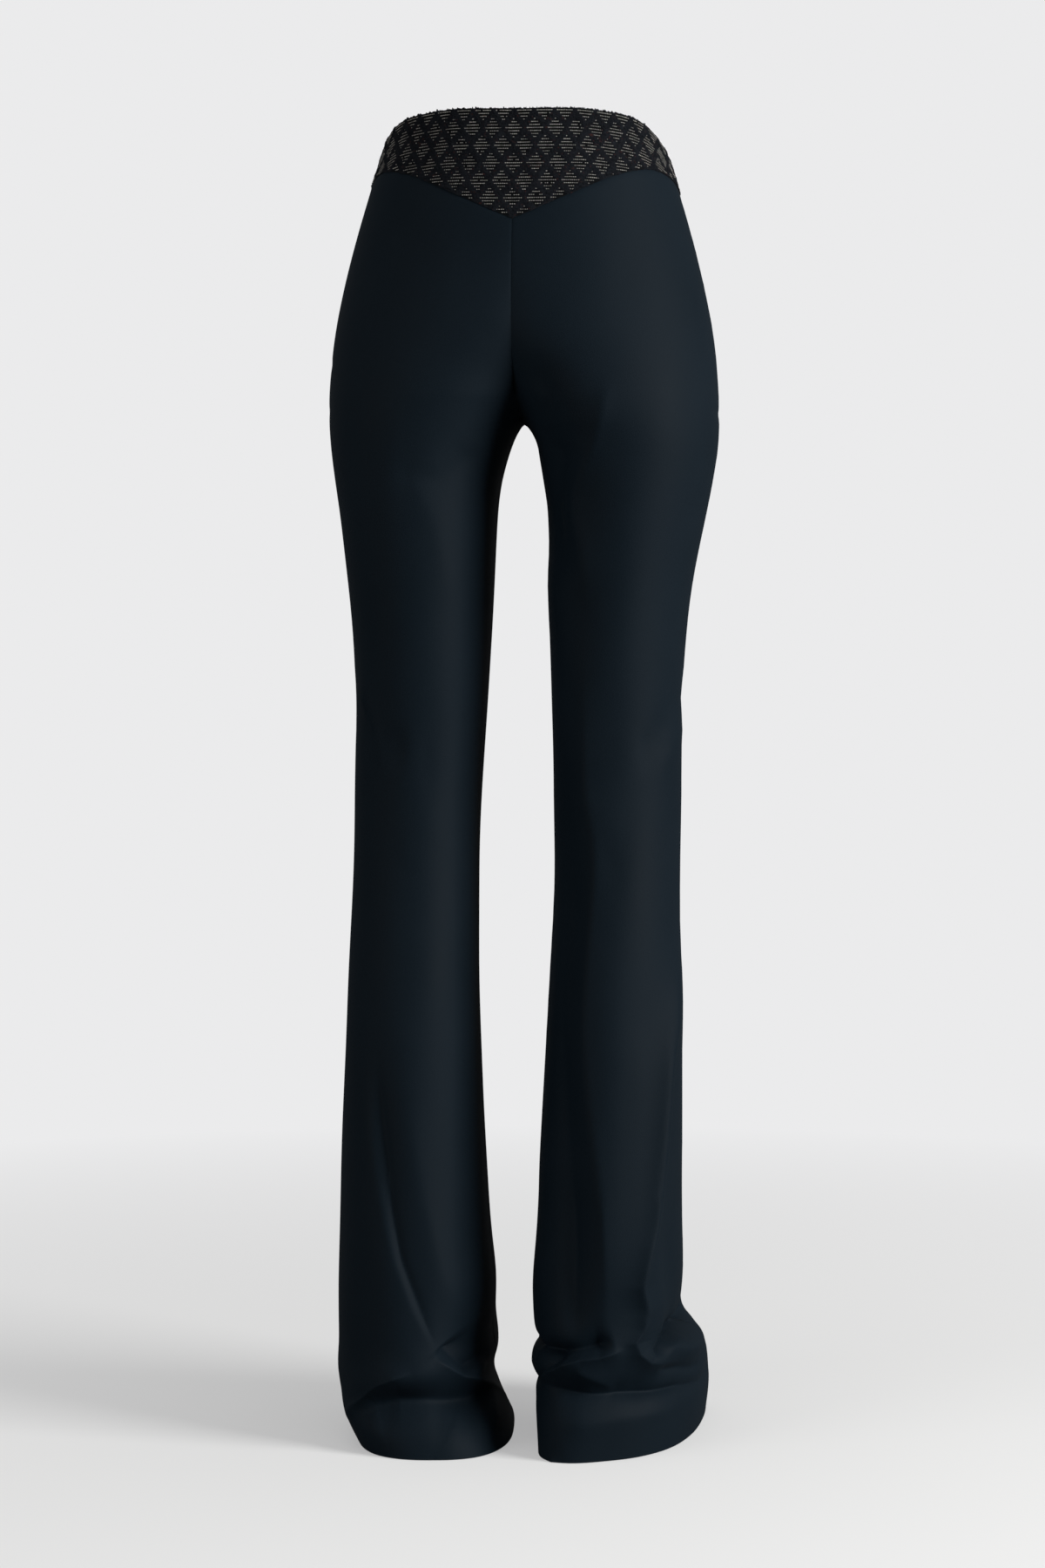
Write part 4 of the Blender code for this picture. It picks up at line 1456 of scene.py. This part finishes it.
    def add_tuft(self, made: "Scatter", column: float, depth: float, size: float, lift: float) -> None:
        """Add one tuft at a place, turned at random.

        Args:
            made: where the tuft goes.
            column: its column.
            depth: its depth, below 0 over the top edge.
            size: its half size.
            lift: how far its middle stands off the cloth.
        """
        lowest = self.loop_depths[1]
        here, normal = self.point(column, max(depth, lowest))
        if here is None:
            return
        here = here + normal * lift + np.array([0.0, 0.0, max(lowest - depth, 0.0)])
        ahead = self.random.normal(0.0, 1.0, 3)
        stretch = size * self.random.uniform(0.55, 1.0, 3)
        stretch[0] *= self.random.uniform(1.2, 2.4)
        made.add(here, ahead, normal, stretch)

    def rust_yarns(self) -> "Scatter":
        """Short lengths of a rust thread that runs with the weft between the lozenges.

        Returns:
            The thread bits' frames.
        """
        made = Scatter(self.rust_bit)
        side = Lattice.COLUMNS - self.rust_inset
        for _ in range(self.rust_count):
            column = self.random.uniform(-side, side)
            depth = self.random.uniform(*self.rust_depths)
            if self.depth_left(column, depth) < self.rust_margin:
                continue
            for k in range(int(self.random.integers(1, 4))):
                here, normal = self.point(column + self.rust_pitch * k, depth)
                ahead, _ = self.point(column + self.rust_pitch * k + self.ahead, depth)
                if here is not None and ahead is not None:
                    size = self.random.uniform(0.7, 1.2, 3)
                    made.add(here + normal * self.rust_lift, ahead - here, normal, size)
        return made


def lozenge_depth(column: np.ndarray, step: np.ndarray) -> np.ndarray:
    """How deep inside a lozenge a place lies: 1 in its middle, 0 on its edge, less outside.

    Args:
        column: the places' columns.
        step: their rows, counted from the first.

    Returns:
        One depth for each place.
    """
    across = 1 - np.abs((column + 1) % 2 - 1)
    down = np.abs((step + 1) % 2 - 1)
    reach = Lattice.HALF_HEIGHT / Lattice.PITCH
    first = 1 - across / Lattice.HALF_WIDTH_COLUMNS - down / reach
    second = 1 - (1 - across) / Lattice.HALF_WIDTH_COLUMNS - (1 - down) / reach
    return np.maximum(first, second)


class Scatter:
    """Places and sizes of many small lumps that share one form."""

    def __init__(self, size: tuple[float, float, float]) -> None:
        """Start with the form's half sizes along, across and out of the cloth."""
        self.size = np.array(size)
        self.frames: list[np.ndarray] = []

    def add(self, place: np.ndarray, along: np.ndarray, out: np.ndarray, stretch: np.ndarray) -> None:
        """Add one lump.

        Args:
            place: its middle.
            along: direction of its length, made square to out.
            out: direction away from the cloth.
            stretch: factors on its three half sizes.
        """
        out = out / np.linalg.norm(out)
        along = along - out * float(along @ out)
        along = along / max(float(np.linalg.norm(along)), 1e-9)
        axes = np.stack([along, np.cross(out, along), out], axis=1)
        matrix = np.eye(4)
        matrix[:3, :3] = axes * (self.size * stretch)
        matrix[:3, 3] = place
        self.frames.append(matrix)


def scatter(name: str, lumps: Scatter, finish: bpy.types.Material) -> bpy.types.Object:
    """Join many copies of one small lump into a piece.

    Args:
        name: the piece's name.
        lumps: their frames.
        finish: their material.

    Returns:
        The joined piece.
    """
    deselect_all()
    bpy.ops.mesh.primitive_ico_sphere_add(subdivisions=1, radius=1.0)
    form = bpy.context.object
    points = read_points(form.data)
    faces = np.array([list(p.vertices) for p in form.data.polygons])
    bpy.data.objects.remove(form, do_unlink=True)
    frames = np.array(lumps.frames)
    placed = np.einsum("nij,kj->nki", frames[:, :3, :3], points) + frames[:, None, :3, 3]
    indices = faces[None] + (np.arange(len(frames)) * len(points))[:, None, None]
    mesh = bpy.data.meshes.new(name)
    mesh.from_pydata(placed.reshape(-1, 3).tolist(), [], indices.reshape(-1, 3).tolist())
    mesh.shade_smooth()
    piece = link_mesh(name, mesh)
    mesh.materials.append(finish)
    return piece


# ------------------------------------------------------------------ studio

class Lamp(NamedTuple):
    """A soft rectangular light that looks at the middle of the trousers."""

    name: str
    place: tuple[float, float, float]
    size: tuple[float, float]
    watts: float


@dataclass
class Studio:
    """Pale floor and backdrop, soft lights and the camera."""

    lamps: tuple[Lamp, ...] = (
        Lamp("key", (-3.25, 1.30, 0.3), (1.5, 2.0), 214.0),
        Lamp("fill", (2.5, 2.3, -0.3), (2.0, 2.0), 44.0),
        Lamp("top", (0.0, 0.6, 2.8), (3.4, 3.4), 30.0),
    )
    floor_radius: float = 14.0
    floor_fade_from: float = 0.5
    floor_fade_to: float = 2.0
    floor_drop: float = 0.0004
    floor_roughness: float = 0.8
    floor_specular: float = 0.2
    backdrop: tuple = (0.831, 0.831, 0.838, 1.0)
    floor_tone: tuple = (0.80, 0.80, 0.785, 1.0)
    floor_bounce: tuple = (0.14, 0.14, 0.14, 1.0)      # what the cloth gets back from it
    fill_strength: float = 0.24
    floor_glow: float = 0.42                   # share of the floor's tone that no shadow takes away
    azimuth: float = math.radians(6.0)         # the camera stands this far round from straight behind
    down: float = math.radians(4.1)
    distance: float = 3.3
    camera_z: float = -0.303
    sideways: float = 0.0026
    lens_mm: float = 88.64
    sensor_mm: float = 36.0

    def build(self) -> None:
        """Make the floor, the world, the lights and the camera."""
        self.floor()
        self.world()
        bpy.context.scene.view_settings.view_transform = "Standard"
        for lamp in self.lamps:
            self.light(lamp)
        self.camera()

    def floor(self) -> None:
        """A wide round floor that turns into the backdrop's tone far from the piece."""
        deselect_all()
        bpy.ops.mesh.primitive_circle_add(vertices=96, radius=self.floor_radius, fill_type="NGON",
                                          location=(0.0, 0.0, FLOOR_Z - self.floor_drop))
        floor = bpy.context.object
        floor.name = "studio_floor"
        bpy.ops.object.transform_apply(location=True, rotation=True, scale=True)
        material, nodes, shader = principled("pale_floor")
        tree = material.node_tree
        place = tree.nodes.new("ShaderNodeTexCoord").outputs["Object"]
        length = tree.nodes.new("ShaderNodeVectorMath")
        length.operation = "LENGTH"
        nodes.join(place, length.inputs[0])
        far = nodes.ramp(length.outputs["Value"], self.floor_fade_from, self.floor_fade_to)
        far = nodes.math("MAXIMUM", far, self.floor_glow)
        shader.inputs["Roughness"].default_value = self.floor_roughness
        shader.inputs["Specular IOR Level"].default_value = self.floor_specular
        glow = tree.nodes.new("ShaderNodeEmission")
        glow.inputs["Color"].default_value = self.backdrop
        seen = tree.nodes.new("ShaderNodeLightPath").outputs["Is Camera Ray"]
        nodes.join(nodes.mix(seen, self.floor_bounce, self.floor_tone), shader.inputs["Base Color"])
        far = nodes.math("MULTIPLY", far, seen)
        mix = tree.nodes.new("ShaderNodeMixShader")
        nodes.join(far, mix.inputs[0])
        nodes.join(shader.outputs[0], mix.inputs[1])
        nodes.join(glow.outputs[0], mix.inputs[2])
        nodes.join(mix.outputs[0], tree.nodes["Material Output"].inputs["Surface"])
        floor.data.materials.append(material)

    def world(self) -> None:
        """A pale surround behind the piece, dimmer where it only lights it."""
        world = bpy.data.worlds.new("studio_world")
        bpy.context.scene.world = world
        world.use_nodes = True
        nodes = Nodes(world.node_tree)
        tree = world.node_tree
        seen = tree.nodes.new("ShaderNodeLightPath").outputs["Is Camera Ray"]
        background = tree.nodes["Background"]
        background.inputs["Color"].default_value = self.backdrop
        strength = nodes.math("MULTIPLY_ADD", seen, 1.0 - self.fill_strength, self.fill_strength)
        nodes.join(strength, background.inputs["Strength"])

    def light(self, lamp: Lamp) -> None:
        """Add one of the lights.

        Args:
            lamp: its name, place, size and power.
        """
        data = bpy.data.lights.new(lamp.name, "AREA")
        data.shape = "RECTANGLE"
        data.size, data.size_y = lamp.size
        data.energy = lamp.watts
        light = bpy.data.objects.new(lamp.name, data)
        bpy.context.scene.collection.objects.link(light)
        light.location = lamp.place
        light.rotation_mode = "QUATERNION"
        aim = Vector((0.0, 0.0, FLOOR_Z / 2)) - Vector(lamp.place)
        light.rotation_quaternion = aim.to_track_quat("-Z", "Y")

    def camera(self) -> None:
        """The photograph's view: almost straight from behind, looking a little down."""
        data = bpy.data.cameras.new("camera")
        data.lens = self.lens_mm
        data.sensor_width = self.sensor_mm
        camera = bpy.data.objects.new("camera", data)
        bpy.context.scene.collection.objects.link(camera)
        left = Vector((math.cos(self.azimuth), math.sin(self.azimuth), 0.0))
        stand = Vector((-math.sin(self.azimuth), math.cos(self.azimuth), 0.0)) * self.distance
        camera.location = stand + left * self.sideways + Vector((0.0, 0.0, self.camera_z))
        ahead = Vector((math.sin(self.azimuth) * math.cos(self.down),
                        -math.cos(self.azimuth) * math.cos(self.down), -math.sin(self.down)))
        camera.rotation_mode = "QUATERNION"
        camera.rotation_quaternion = ahead.to_track_quat("-Z", "Y")
        bpy.context.scene.camera = camera


# ------------------------------------------------------------------ the garment

@dataclass
class Trousers:
    """The whole garment: four leg pieces of crepe, the yoke and the waistband."""

    legs: tuple[LegSheet, ...] = field(default_factory=lambda: (
        LegSheet("left_back_leg", Side.LEFT, LEFT_CREASES, (0.290, 1.085), 0.2555),
        LegSheet("right_back_leg", Side.RIGHT, RIGHT_CREASES, (0.290, 1.085), 0.2555),
        LegSheet("left_front_leg", Side.LEFT, LEFT_CREASES, (0.285, 1.075), 0.2490),
        LegSheet("right_front_leg", Side.RIGHT, RIGHT_CREASES, (0.285, 1.075), 0.2490),
    ))
    bands: tuple[YokeSheet, ...] = field(default_factory=lambda: (
        YokeSheet("back_yoke", 1.0, (0.345, 0.095), 0.0184, seed=11),
        YokeSheet("front_yoke", -1.0, (0.345, 0.062), 0.0123, seed=23, tuft_count=3800, rust_count=50),
    ))

    def build(self) -> None:
        """Make every piece, and say what it is, what it rides on and what it stands for."""
        groups = {"dye": uneven_dye_group(), "yarn": twisted_yarn_group(), "lozenges": lozenge_group()}
        crepe = CrepeFinish().build(groups)
        tweed = BoucleFinish().build(groups)
        yarns = {"weft": METALLIC_WEFT.build(groups), "tuft": LOOPED_TUFT.build(groups),
                 "rust": RUST_THREAD.build(groups)}
        for band in self.bands:
            made = band.build(tweed, yarns)
            for piece in made.values():
                self.hand_over(piece, None, "tweed")
            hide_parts(band.node)
        yoke_edge = np.concatenate([band.lower_edge for band in self.bands])
        for leg in self.legs:
            piece = leg.build(crepe, yoke_edge)
            self.hand_over(piece, leg.node, "crepe")

    @staticmethod
    def hand_over(piece: bpy.types.Object, node: str | None, slot: str) -> None:
        """Let a piece ride on the body and stand for its node.

        Args:
            piece: the finished piece.
            node: the node it replaces, or None.
            slot: not used.
        """
        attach(piece, BODY)
        if node:
            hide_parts(node)
        LOG.info("%s: %d faces", piece.name, len(piece.data.polygons))


def main() -> None:
    """Build the garment and the studio."""
    logging.basicConfig(level=logging.INFO, format="%(message)s")
    Trousers().build()
    Studio().build()


if __name__ == "__main__":
    main()
